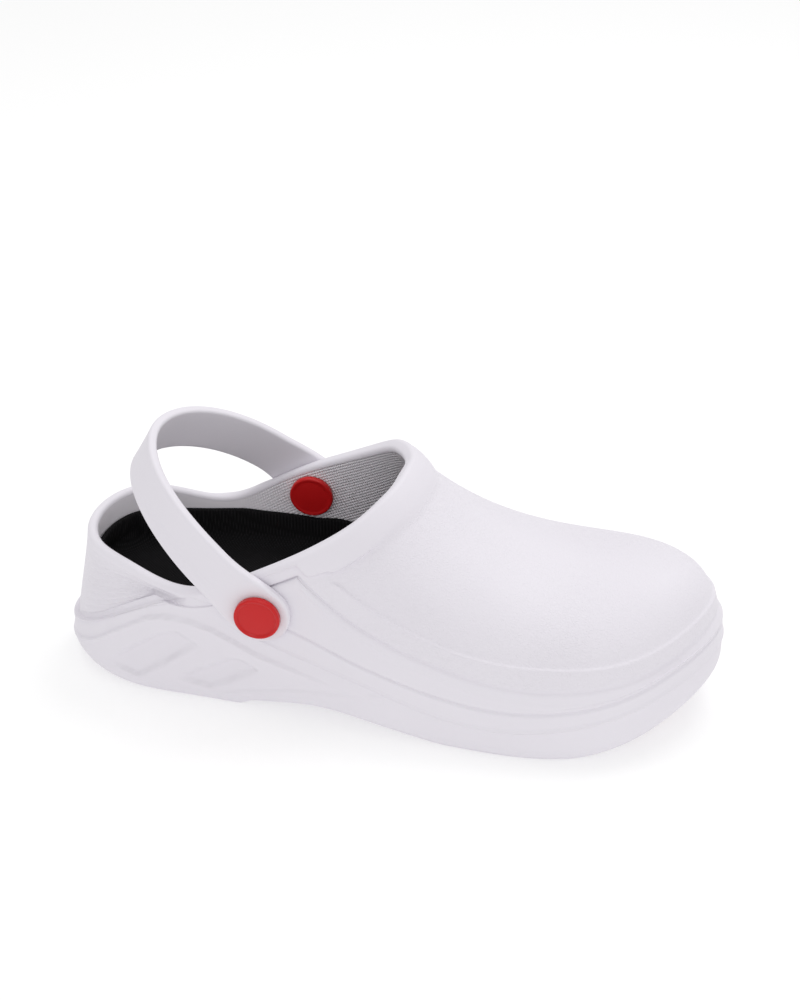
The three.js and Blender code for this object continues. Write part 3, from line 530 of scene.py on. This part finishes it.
# The body's inner side and its footbed.
def inner_ring(m, inset, height_over_bed):
    """A ring inset from the wall's inner side, at a height over the footbed."""
    bed = footbed_height(m.x)
    s = m.arc_at(bed + height_over_bed)
    return m.skin(np.minimum(s, m.total - RIM_ROUND - 1)[:, None], -INNER - inset)[:, 0]


def fillet_rings(m, inset, raised, radius=FOOTBED_FILLET, count=6):
    """The round between the wall and the footbed; radius may differ for each meridian."""
    radius = radius + 0 * m.u
    rings = []
    for angle in np.linspace(0, math.pi / 2, count):
        s = m.arc_at(footbed_height(m.x) + radius)
        inwards = radius * (1 - math.cos(angle))
        points = m.skin(s[:, None], -INNER - (inset + inwards)[:, None])[:, 0]
        points[:, 2] = footbed_height(points[:, 0]) + raised + radius * (1 - math.sin(angle))
        rings.append(points)
    return rings


def capped(name, rings, height_at, across=24):
    """A skin from rings of points, closed at the last ring by a cap of straight rows."""
    grid = np.stack(rings, 1)
    around, rows = grid.shape[:2]
    points = grid.reshape(-1, 3).tolist()
    faces = grid_faces(around, rows)
    half = around // 2
    lines = []
    for i in range(half + 1):
        left, right = grid[i, -1], grid[(around - i) % around, -1]
        line = [i * rows + rows - 1]
        for k in range(1, across):
            if i in (0, half):
                line.append(line[0])
                continue
            p = mix(left, right, k / across)
            line.append(len(points))
            points.append([p[0], p[1], float(height_at(p[0]))])
        line.append(((around - i) % around) * rows + rows - 1)
        lines.append(line)
    for i in range(half):
        for k in range(across):
            quad = [lines[i][k], lines[i + 1][k], lines[i + 1][k + 1], lines[i][k + 1]]
            face = list(dict.fromkeys(quad))
            if len(face) > 2:
                faces.append(tuple(face))
    return mesh_object(name, points, faces), np.array(points)


inside = Meridians(280)
inner_top = inside.total - RIM_ROUND
inner_low = inside.arc_at(footbed_height(inside.x) + FOOTBED_FILLET)
rings = [
    inside.skin(mix(inner_top, inner_low, share)[:, None], -INNER)[:, 0]
    for share in np.linspace(0, 0.97, 40)
]
rings += fillet_rings(inside, 0, 0)
lining, lining_points = capped("body_inner", rings, footbed_height)
girth = np.concatenate([[0], np.cumsum(np.linalg.norm(np.diff(rings[20], axis=0), axis=1))])
steps = [np.linalg.norm(after - before, axis=1) for before, after in zip(rings, rings[1:])]
down = np.cumsum([0 * girth, *steps], 0)
uv = np.zeros((len(lining_points), 2))
for j, depth in enumerate(down):
    uv[np.arange(len(girth)) * len(rings) + j] = np.stack([girth, depth], 1) / 1000
add_uv(lining, uv)


# The underside with the tread inserts' recesses.
def edge_line(m):
    """The sole's bottom edge, as its lateral and medial halves from heel to toe."""
    edge = sole_side(m, [0.0], 0)[0][:, 0]
    half = len(m.u) // 2
    lateral = edge[: half + 1]
    medial = edge[half:].tolist() + [edge[0].tolist()]
    medial = np.array(medial)[::-1]
    return lateral, medial


edge_lat, edge_med = edge_line(ring)


def edges_at(x):
    """How far to each side the sole's bottom edge lies at x."""
    a, b = np.argmin(edge_lat[:, 0]), np.argmax(edge_lat[:, 0])
    lat = np.interp(x, edge_lat[a : b + 1, 0], edge_lat[a : b + 1, 1])
    a, b = np.argmin(edge_med[:, 0]), np.argmax(edge_med[:, 0])
    med = np.interp(x, edge_med[a : b + 1, 0], edge_med[a : b + 1, 1])
    return lat, med


def pad_limits(x, name, grow=0.0):
    """The insert's two edges at x, which close on its middle line towards both ends."""
    start, end = TREADS[name][0] * LENGTH - grow, TREADS[name][1] * LENGTH + grow
    share = np.clip(2 * (x - start) / (end - start) - 1, -1, 1)
    full = (1 - np.abs(share) ** 3.5) ** (1 / 3.5)
    lat, med = edges_at(x)
    lat, med = lat + PAD_MARGIN - grow, med - PAD_MARGIN + grow
    middle = (lat + med) / 2
    return mix(middle, lat, full), mix(middle, med, full)


def spaced(start, end, count):
    """Values from start to end, closer together towards both."""
    return mix(start, end, (1 - np.cos(np.linspace(0, math.pi, count))) / 2)


low_x, high_x = edge_lat[:, 0].min(), edge_lat[:, 0].max()
heel = [share * LENGTH for share in TREADS["tread_heel"]]
fore = [share * LENGTH for share in TREADS["tread_forefoot"]]
row_x = np.concatenate(
    [
        spaced(low_x, heel[0] - 0.35, 24)[:-1],
        spaced(heel[0] - 0.3, heel[1] + 0.3, 50),
        np.linspace(heel[1] + 0.4, fore[0] - 0.4, 90),
        spaced(fore[0] - 0.3, fore[1] + 0.3, 50),
        spaced(fore[1] + 0.35, high_x, 24)[1:],
    ]
)
sole_points = []
for x in row_x:
    lat, med = edges_at(x)
    name = "tread_heel" if x < LENGTH / 2 else "tread_forefoot"
    a, b = pad_limits(x, name, CLEARANCE)
    base = float(bottom_height(x))
    deep = LUG_HEIGHT + PAD_THICK + CLEARANCE
    line = [(y, 0) for y in np.linspace(lat, a, 8)]
    line += [(y, deep) for y in np.linspace(a, b, 12)]
    line += [(y, 0) for y in np.linspace(b, med, 8)]
    sole_points += [[x, y, base + up] for y, up in line]
underside = mesh_object("body_underside", sole_points, grid_faces(len(row_x), 28, closed=False, flip=True))


# Rivets and the seats that the strap lies on.
def wall_reach(x, z, side, lifted):
    """The distance from the middle plane to the lifted wall of one side, at x and z."""
    half = len(inside.u) // 2
    near = np.arange(1, half) if side < 0 else np.arange(half + 1, len(inside.u))
    s = inside.arc_at(z)
    rows = inside.skin(s[:, None], lifted)[near, 0]
    order = np.argsort(rows[:, 0])
    return abs(float(np.interp(x, rows[order, 0], rows[order, 1])))


def reach_over(radius, rivet, lifted):
    """The least of those distances over a disc round a rivet's axis."""
    reaches = [wall_reach(rivet["x"], rivet["z"], rivet["side"], lifted)]
    for i in range(12):
        a = i * math.pi / 6
        x, z = rivet["x"] + radius * math.cos(a), rivet["z"] + radius * math.sin(a)
        reaches.append(wall_reach(x, z, rivet["side"], lifted))
    return min(reaches)


for rivet in RIVETS.values():
    rivet["seat"] = reach_over(TONGUE_RADIUS / 2, rivet, 0) - SEAT_DEPTH
    rivet["inner"] = reach_over(CAP_RADIUS, rivet, -INNER)


def turned(name, profile, rivet, segments=72):
    """A turned skin on a rivet's axis from (radius, distance from the middle plane)."""
    points, faces = [], []
    for i in range(segments):
        a = 2 * math.pi * i / segments
        for radius, reach in profile:
            x, z = radius * math.cos(a), radius * math.sin(a)
            points.append([rivet["x"] + x, rivet["side"] * reach, rivet["z"] + z])
    faces = grid_faces(segments, len(profile), flip=rivet["side"] < 0)
    return mesh_object(name, points, faces)


def arc_profile(centre, radius, start, end, count=6):
    angles = np.radians(np.linspace(start, end, count))
    return [(centre[0] + radius * math.cos(a), centre[1] + radius * math.sin(a)) for a in angles]


buttons, caps = [], []
for label, rivet in RIVETS.items():
    outer_face = rivet["seat"] + CLEARANCE + STRAP_THICK + CLEARANCE
    crown = outer_face + BUTTON_THICK
    # The button: its stem, a rounded edge, a shallow ring and a nearly flat crown.
    profile = [(STEM_RADIUS, rivet["inner"] - 1.5), (STEM_RADIUS, outer_face)]
    profile += arc_profile((BUTTON_RADIUS - 0.4, outer_face + 0.4), 0.4, -90, 0, 4)
    profile += arc_profile((BUTTON_RADIUS - 0.75, crown - 0.75), 0.75, 0, 105, 9)
    profile += [(BUTTON_RADIUS - 1.35, crown - 0.2), (BUTTON_RADIUS - 1.6, crown - 0.55)]
    profile += [(BUTTON_RADIUS - 1.9, crown - 0.68), (BUTTON_RADIUS - 2.4, crown - 0.6)]
    profile += [(BUTTON_RADIUS - 4, crown - 0.45), (BUTTON_RADIUS - 6.5, crown - 0.32), (0, crown - 0.28)]
    button = turned(f"rivet_{label}_button_skin", profile, rivet)
    base = rivet["inner"] - CLEARANCE
    face = base - CAP_THICK / 2 - CLEARANCE - 1
    # The cap: a rounded edge, a shallow ring and a flat face.
    profile = [(STEM_RADIUS, base), (CAP_RADIUS - 0.2, base), (CAP_RADIUS, base - 0.2)]
    profile += arc_profile((CAP_RADIUS - 0.8, face + 0.8), 0.8, 0, -90, 8)
    profile += [(CAP_RADIUS - 1.5, face + 0.02), (CAP_RADIUS - 1.8, face + 0.18)]
    profile += [(CAP_RADIUS - 2.2, face + 0.18), (CAP_RADIUS - 3, face + 0.08), (0, face + 0.02)]
    cap = turned(f"rivet_{label}_cap_skin", profile, rivet)
    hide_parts(f"rivet_{label}_button")
    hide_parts(f"rivet_{label}_cap")
    buttons.append(button)
    caps.append(cap)


# The strap: its middle line in its own plane, then a rounded section swept along it.
def strap_path():
    """The middle line as pairs of a distance along the branches and one across the clog."""
    left, right = [r["seat"] + CLEARANCE + STRAP_THICK / 2 for r in RIVETS.values()]
    middle, reach = (right - left) / 2, (right + left) / 2
    straight = [-math.cos(math.radians(a)) * TONGUE_RADIUS for a in range(3, 90, 6)]
    straight += [STRAP_STRAIGHT * share for share in (0, 0.25, 0.5, 0.75)]
    path = [(along, -reach) for along in straight]
    power = 2 / STRAP_FULLNESS
    for i in range(121):
        a = i / 120 * math.pi
        c = math.cos(a)
        along = mix(STRAP_STRAIGHT, STRAP_REACH, max(math.sin(a), 0) ** power)
        path.append((along, -math.copysign(abs(c) ** power, c) * reach))
    path += [(along, reach) for along in reversed(straight)]
    return [(along, across + middle) for along, across in path]


def strap_half_width(along):
    if along < 0:
        return math.sqrt(max(TONGUE_RADIUS**2 - along**2, 0.01))
    branch = mix(TONGUE_RADIUS, STRAP_WIDTH / 2, float(smooth(0, 0.35, along / STRAP_REACH)))
    return mix(branch, STRAP_BACK_WIDTH / 2, float(smooth(0.5, 1, along / STRAP_REACH)))


def strap_skin():
    raised = math.radians(STRAP_RAISE)
    up = np.array([-math.cos(raised), 0, math.sin(raised)])
    wide = np.array([math.sin(raised), 0, math.cos(raised)])
    path = strap_path()
    left, right = [np.array([r["x"], 0, r["z"]]) for r in RIVETS.values()]
    first, last = path[0][1], path[-1][1]
    centres = []
    for along, across in path:
        foot = mix(left, right, (across - first) / (last - first))
        droop = STRAP_DROOP * (max(along, 0) / STRAP_REACH) ** 2
        centres.append(foot + up * along - wide * droop + np.array([0, across, 0]))
    centres = np.array(centres)
    points = []
    for i, (along, across) in enumerate(path):
        before, after = centres[max(0, i - 1)], centres[min(len(path) - 1, i + 1)]
        tangent = unit(after - before)
        turn = math.radians(STRAP_TURN) * float(smooth(0.3, 1, along / STRAP_REACH))
        width = unit(wide - tangent * wide.dot(tangent))
        side = np.cross(tangent, width)
        width = width * math.cos(turn) + side * math.sin(turn)
        outwards = np.cross(width, tangent)
        half = strap_half_width(along)
        corner = min(STRAP_CORNER, half * 0.6)
        thick = STRAP_THICK / 2
        # A moulding ridge along the outer side's branch.
        ridge = 0.6 * float(smooth(16, 28, along) * (1 - smooth(58, 70, along))) * (across < 0)
        section = []
        for w, n, start in [(1, -1, 270), (1, 1, 0), (-1, 1, 90), (-1, -1, 180)]:
            for step in (0, 15, 30, 45, 60, 75, 90):
                a = math.radians(start + step)
                y = w * (half - corner) + corner * math.cos(a)
                section.append((y, n * (thick - corner) + corner * math.sin(a)))
            if n == 1 and w == 1:
                for share in np.linspace(0, 1, 18)[1:-1]:
                    y = mix(half - corner, corner - half, share)
                    fold = math.exp(-(((y / half + 0.42) / 0.09) ** 2)) * ridge
                    section.append((y, thick - 0.12 * math.sin(math.pi * share) + fold))
            if n == -1 and w == -1:
                for share in np.linspace(0, 1, 10)[1:-1]:
                    section.append((mix(corner - half, half - corner, share), -thick))
        points += [centres[i] + width * a + outwards * b for a, b in reversed(section)]
    rows = len(section)
    faces = grid_faces(len(path), rows, closed=False, flip=True)
    for i in range(len(path) - 1):
        here, there = i * rows, (i + 1) * rows
        faces.append((here, there, there + rows - 1, here + rows - 1))
    final = (len(path) - 1) * rows
    faces.append(tuple(range(rows))[::-1])
    faces.append(tuple(final + j for j in range(rows)))
    return mesh_object("heel_strap_skin", points, faces)


strap = strap_skin()


# The insole, cupped at the heel.
def cup_height(m):
    """How high the insole climbs over the footbed, lower under the rivets' caps."""
    height = 0 * m.u + CUP[0][1]
    for (start, low), (end, high) in zip(CUP, CUP[1:]):
        height = np.where(m.share >= start, mix(low, high, smooth(start, end, m.share)), height)
    height = INSTEP_HEIGHT * height
    for rivet in RIVETS.values():
        same = rivet["side"] * form["y"](m.u) > 0
        near = 1 - smooth(CAP_RADIUS + 3, 3 * CAP_RADIUS, np.abs(m.x - rivet["x"]))
        free = rivet["z"] - CAP_RADIUS - CAP_ROOM - float(footbed_height(rivet["x"]))
        height = mix(height, np.minimum(height, free), np.where(same, near, 0))
    return height


cup = cup_height(inside)
off = 2 * CLEARANCE
round_radius = np.minimum(FOOTBED_FILLET, cup - CLEARANCE - INSOLE_THICK - 1.2)
round_top = round_radius + CLEARANCE + INSOLE_THICK
rings = [
    inner_ring(inside, off, (FOOTBED_FILLET + cup) / 2),
    inner_ring(inside, off, cup - 1.0),
    inner_ring(inside, off + 0.1, cup - 0.5),
    inner_ring(inside, off + 0.4, cup - 0.15),
    inner_ring(inside, off + 0.9, cup),
    inner_ring(inside, off + 1.4, cup - 0.1),
    inner_ring(inside, off + 1.8, cup - 0.45),
]
for share in (0.0, 0.35, 0.7):
    rings.append(inner_ring(inside, off + INSOLE_EDGE, mix(cup - 1.2, round_top, share)))
rings += fillet_rings(inside, off + INSOLE_EDGE, CLEARANCE + INSOLE_THICK, round_radius, 8)
insole, _ = capped(
    "insole_skin", rings, lambda x: footbed_height(x) + CLEARANCE + INSOLE_THICK, across=40
)


# Tread inserts: a plate with cross lugs that reach the floor.
def tread_skin(name):
    start, end = [share * LENGTH for share in TREADS[name]]
    # Rows of points 0.8 mm apart, closer at both ends and on the edges of the gaps between lugs.
    xs = [start, start + 0.05, *np.arange(start + 0.15, end - 0.1, 0.8), end - 0.1, end - 0.02]
    xs = [round(float(v), 3) for v in xs]
    gaps = []
    edge = start + LUG_WIDTH
    while edge < end:
        gaps.append((edge, min(edge + LUG_PITCH - LUG_WIDTH, end)))
        edge += LUG_PITCH
    for a, b in gaps:
        for d in (-0.25, 0, 0.35, 0.6):
            xs += [a + d, b - d]
    xs = sorted(v for v in set(xs) if start <= v <= end)
    points = []
    for v in xs:
        hollow = 0.0
        for a, b in gaps:
            hollow = max(hollow, float(smooth(a, a + 0.35, v) * (1 - smooth(b - 0.35, b, v))))
        a, b = pad_limits(v, name)
        base = float(bottom_height(v))
        low = hollow * (LUG_HEIGHT + 0.45)
        high = LUG_HEIGHT + PAD_THICK
        corner = min(0.3, (b - a) / 4)
        line = [(a, high), (a, low + 0.3)]
        line += [(y, low) for y in np.linspace(a + corner, b - corner, 24)]
        line += [(b, low + 0.3), (b, high)]
        points += [[v, y, base + up] for y, up in line]
    return mesh_object(name + "_skin", points, grid_faces(len(xs), 28, closed=False, flip=True))


treads = {name: tread_skin(name) for name in TREADS}


# Materials.
def material(name, colour, roughness, **sockets):
    made = bpy.data.materials.new(name)
    made.use_nodes = True
    shader = made.node_tree.nodes["Principled BSDF"]
    shader.inputs["Base Color"].default_value = (*colour, 1)
    shader.inputs["Roughness"].default_value = roughness
    for key, value in sockets.items():
        shader.inputs[key.replace("_", " ")].default_value = value
    return made, made.node_tree, shader


def node(tree, kind, **settings):
    made = tree.nodes.new(kind)
    for key, value in settings.items():
        if key.startswith("in_"):
            made.inputs[key[3:].replace("_", " ")].default_value = value
        else:
            setattr(made, key, value)
    return made


def math_node(tree, operation, a, b=None, clamp=False):
    made = tree.nodes.new("ShaderNodeMath")
    made.operation = operation
    made.use_clamp = clamp
    for i, value in enumerate((a, b)):
        if value is None:
            continue
        if isinstance(value, (int, float)):
            made.inputs[i].default_value = value
        else:
            tree.links.new(value, made.inputs[i])
    return made.outputs[0]


def object_position(tree):
    return tree.nodes.new("ShaderNodeTexCoord").outputs["Object"]


def noise(tree, vector, scale, detail):
    made = node(tree, "ShaderNodeTexNoise", in_Scale=scale, in_Detail=detail)
    tree.links.new(vector, made.inputs["Vector"])
    return made.outputs["Fac"]


def stretched(tree, vector, scale):
    made = node(tree, "ShaderNodeMapping")
    made.inputs["Scale"].default_value = scale
    tree.links.new(vector, made.inputs["Vector"])
    return made.outputs["Vector"]


def attribute(tree, name):
    made = node(tree, "ShaderNodeAttribute", attribute_name=name)
    return made.outputs["Fac"]


def wave(tree, value, turns):
    return math_node(tree, "SINE", math_node(tree, "MULTIPLY", value, turns))


def bump(tree, shader, height, distance):
    made = node(tree, "ShaderNodeBump", in_Strength=1.0, in_Distance=distance)
    tree.links.new(height, made.inputs["Height"])
    tree.links.new(made.outputs["Normal"], shader.inputs["Normal"])


def leather_height(tree, position):
    """Fine irregular wrinkles, as moulded leather grain."""
    warp = noise(tree, position, 260, 2)
    cells = node(tree, "ShaderNodeTexVoronoi", feature="DISTANCE_TO_EDGE", in_Scale=620.0)
    shifted = node(tree, "ShaderNodeVectorMath", operation="ADD")
    tree.links.new(stretched(tree, position, (0.8, 1.0, 1.45)), shifted.inputs[0])
    bend = node(tree, "ShaderNodeVectorMath", operation="SCALE")
    colour = node(tree, "ShaderNodeTexNoise", in_Scale=330.0, in_Detail=2.0)
    tree.links.new(position, colour.inputs["Vector"])
    tree.links.new(colour.outputs["Color"], bend.inputs[0])
    bend.inputs["Scale"].default_value = 0.0035
    tree.links.new(bend.outputs["Vector"], shifted.inputs[1])
    tree.links.new(shifted.outputs["Vector"], cells.inputs["Vector"])
    ridges = math_node(tree, "MULTIPLY", cells.outputs["Distance"], 3.2, clamp=True)
    return math_node(tree, "ADD", ridges, math_node(tree, "MULTIPLY", warp, 0.8))


FOAM_WHITE = (0.80, 0.775, 0.82)
FOAM_TINTS = [(0.74, 0.71, 0.765, 1), (0.79, 0.765, 0.815, 1)]
# The inner wall's foam is painted lighter than the outer's: painted light that lifts the shade inside the
# clog.
INNER_LIGHTENED_TINTS = [(0.91, 0.88, 0.925, 1), (0.93, 0.90, 0.945, 1)]
# Turns of the liner's mesh and of the insole's knit, in radians for each metre.
MESH_WAVE = 2300.0
KNIT_WAVE = 4200.0


def foam_material(name, leather=False, mesh_and_lightening=False):
    """White foam: a cloudy tint under a fine grain, with leather wrinkles or a mesh where asked. With the
    mesh come lighter tints, painted light for the inner wall.
    """
    made, tree, shader = material(name, FOAM_WHITE, 0.5, Specular_IOR_Level=0.35)
    position = object_position(tree)
    cloud = noise(tree, position, 14, 2)
    tint = node(tree, "ShaderNodeMix", data_type="RGBA")
    # On the inner wall the lighter tints are painted light, not a different foam.
    for end, colour in zip("AB", INNER_LIGHTENED_TINTS if mesh_and_lightening else FOAM_TINTS):
        tint.inputs[end].default_value = colour
    tree.links.new(cloud, tint.inputs["Factor"])
    tree.links.new(tint.outputs["Result"], shader.inputs["Base Color"])
    fine = noise(tree, position, 1500, 2)
    height = math_node(tree, "MULTIPLY", fine, 0.35)
    if leather:
        grain = math_node(tree, "MULTIPLY", leather_height(tree, position), attribute(tree, "grain"))
        patches = math_node(tree, "MULTIPLY", noise(tree, position, 22, 1), 1.1, clamp=True)
        height = math_node(tree, "ADD", height, math_node(tree, "MULTIPLY", grain, patches))
    if mesh_and_lightening:
        uv = node(tree, "ShaderNodeUVMap", uv_map="surface")
        parts = node(tree, "ShaderNodeSeparateXYZ")
        tree.links.new(uv.outputs["UV"], parts.inputs[0])
        along, up = parts.outputs["X"], parts.outputs["Y"]
        slants = [math_node(tree, sign, along, up) for sign in ("ADD", "SUBTRACT")]
        cross = math_node(tree, "MULTIPLY", *[wave(tree, slant, MESH_WAVE) for slant in slants])
        front = math_node(tree, "MULTIPLY", attribute(tree, "front"), 2.0)
        height = math_node(tree, "ADD", height, math_node(tree, "MULTIPLY", cross, front))
    bump(tree, shader, height, 0.00014)
    rough = node(tree, "ShaderNodeMapRange", in_To_Min=0.46, in_To_Max=0.6)
    tree.links.new(noise(tree, position, 60, 3), rough.inputs["Value"])
    tree.links.new(rough.outputs["Result"], shader.inputs["Roughness"])
    return made


foam = foam_material("foam_body", leather=True)
foam_plain = foam_material("foam_strap")
# The inner wall: its mesh, and lighter tints as painted light for the shade inside.
foam_inner_lightened = foam_material("foam_inner_lightened", mesh_and_lightening=True)
# The liner's mesh begins ahead of the heel quarter.
add_attribute(lining, "front", smooth(60, 105, lining_points[:, 0]))

red, tree, shader = material(
    "red_plastic", (0.54, 0.009, 0.010), 0.34, Specular_IOR_Level=0.28, Coat_Weight=0.05
)
shader.inputs["Coat Roughness"].default_value = 0.15
bump(tree, shader, noise(tree, object_position(tree), 500, 2), 0.00003)

rubber, tree, shader = material("red_rubber", (0.62, 0.022, 0.035), 0.6)
bump(tree, shader, noise(tree, object_position(tree), 1200, 3), 0.0001)

textile, tree, shader = material("black_textile", (0.006, 0.006, 0.007), 0.9, Specular_IOR_Level=0.12)
position = object_position(tree)
parts = node(tree, "ShaderNodeSeparateXYZ")
tree.links.new(position, parts.inputs[0])
dots = math_node(tree, "MULTIPLY", *[wave(tree, parts.outputs[axis], KNIT_WAVE) for axis in "XY"])
fluff = math_node(tree, "MULTIPLY", noise(tree, position, 2500, 2), 0.8)
bump(tree, shader, math_node(tree, "ADD", dots, fluff), 0.00008)
speck = node(tree, "ShaderNodeMix", data_type="RGBA")
speck.inputs["A"].default_value = (0.0055, 0.0052, 0.0058, 1)
speck.inputs["B"].default_value = (0.014, 0.0135, 0.0145, 1)
tree.links.new(math_node(tree, "MULTIPLY", dots, 1.0, clamp=True), speck.inputs["Factor"])
tree.links.new(speck.outputs["Result"], shader.inputs["Base Color"])

for piece, look, replaced, slot_name in [
    (outer, foam, ["body"], "white_foam"),
    (lining, foam_inner_lightened, ["body"], "white_foam"),
    (underside, foam_plain, ["body"], "white_foam"),
    (strap, foam_plain, ["heel_strap"], "white_foam"),
    (insole, textile, ["insole"], "black_textile"),
    (treads["tread_heel"], rubber, ["tread_heel"], "red_rubber"),
    (treads["tread_forefoot"], rubber, ["tread_forefoot"], "red_rubber"),
    *[(piece, red, [], "red_plastic") for piece in buttons + caps],
]:
    piece.data.materials.append(look)
    if replaced:
        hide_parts(*replaced)
    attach(piece, "root")

# Floor, light and camera.
FLOOR_HALF = 6.0
floor_mesh = bpy.data.meshes.new("floor")
corners = [(x * FLOOR_HALF, y * FLOOR_HALF, 0) for x, y in [(-1, -1), (1, -1), (1, 1), (-1, 1)]]
floor_mesh.from_pydata(corners, [], [(0, 1, 2, 3)])
floor = bpy.data.objects.new("floor", floor_mesh)
bpy.context.scene.collection.objects.link(floor)
# A light table: its own soft glow keeps the shadows round the clog pale.
paper, tree, shader = material("floor_paper", (0.62, 0.62, 0.62), 0.8, Specular_IOR_Level=0.1)
shader.inputs["Emission Color"].default_value = (1, 1, 1, 1)
shader.inputs["Emission Strength"].default_value = 0.41
bump(tree, shader, noise(tree, object_position(tree), 300, 2), 0.00002)
floor.data.materials.append(paper)

world = bpy.data.worlds.new("studio")
bpy.context.scene.world = world
world.use_nodes = True
world.node_tree.nodes["Background"].inputs["Color"].default_value = (1, 1, 1, 1)
world.node_tree.nodes["Background"].inputs["Strength"].default_value = 0.73


def area_light(name, place, target, size, power):
    """A soft rectangular lamp that faces its target."""
    data = bpy.data.lights.new(name, "AREA")
    data.shape = "RECTANGLE"
    data.size, data.size_y = size
    data.energy = power
    lamp = bpy.data.objects.new(name, data)
    bpy.context.scene.collection.objects.link(lamp)
    lamp.location = place
    lamp.rotation_euler = (Vector(target) - Vector(place)).to_track_quat("-Z", "Y").to_euler()


area_light("key", (-0.35, 0.1, 1.2), (0, 0, 0.04), (0.5, 0.4), 1.3)
area_light("top", (0.3, 0.45, 1.1), (0, 0, 0.05), (0.6, 0.5), 3.4)
area_light("side", (0.95, -0.25, 0.45), (0, 0, 0.04), (0.5, 0.6), 0.35)
area_light("front", (0.15, -1.1, 0.95), (-0.05, 0, 0.06), (0.5, 0.5), 2.1)

bpy.context.scene.view_settings.view_transform = "Standard"

# The camera that was fitted to the photograph.
azimuth, elevation, reach = math.radians(10), math.radians(32.3), 0.8
aim = Vector((0.00479, 0.00107, 0.0895))
away = Vector(
    (math.sin(azimuth) * math.cos(elevation), -math.cos(azimuth) * math.cos(elevation), math.sin(elevation))
)
camera_data = bpy.data.cameras.new("camera")
camera_data.sensor_fit = "HORIZONTAL"
camera_data.sensor_width = 36
camera_data.lens = 85.05
camera = bpy.data.objects.new("camera", camera_data)
bpy.context.scene.collection.objects.link(camera)
camera.location = aim + away * reach
camera.rotation_euler = (-away).to_track_quat("-Z", "Y").to_euler()
bpy.context.scene.camera = camera
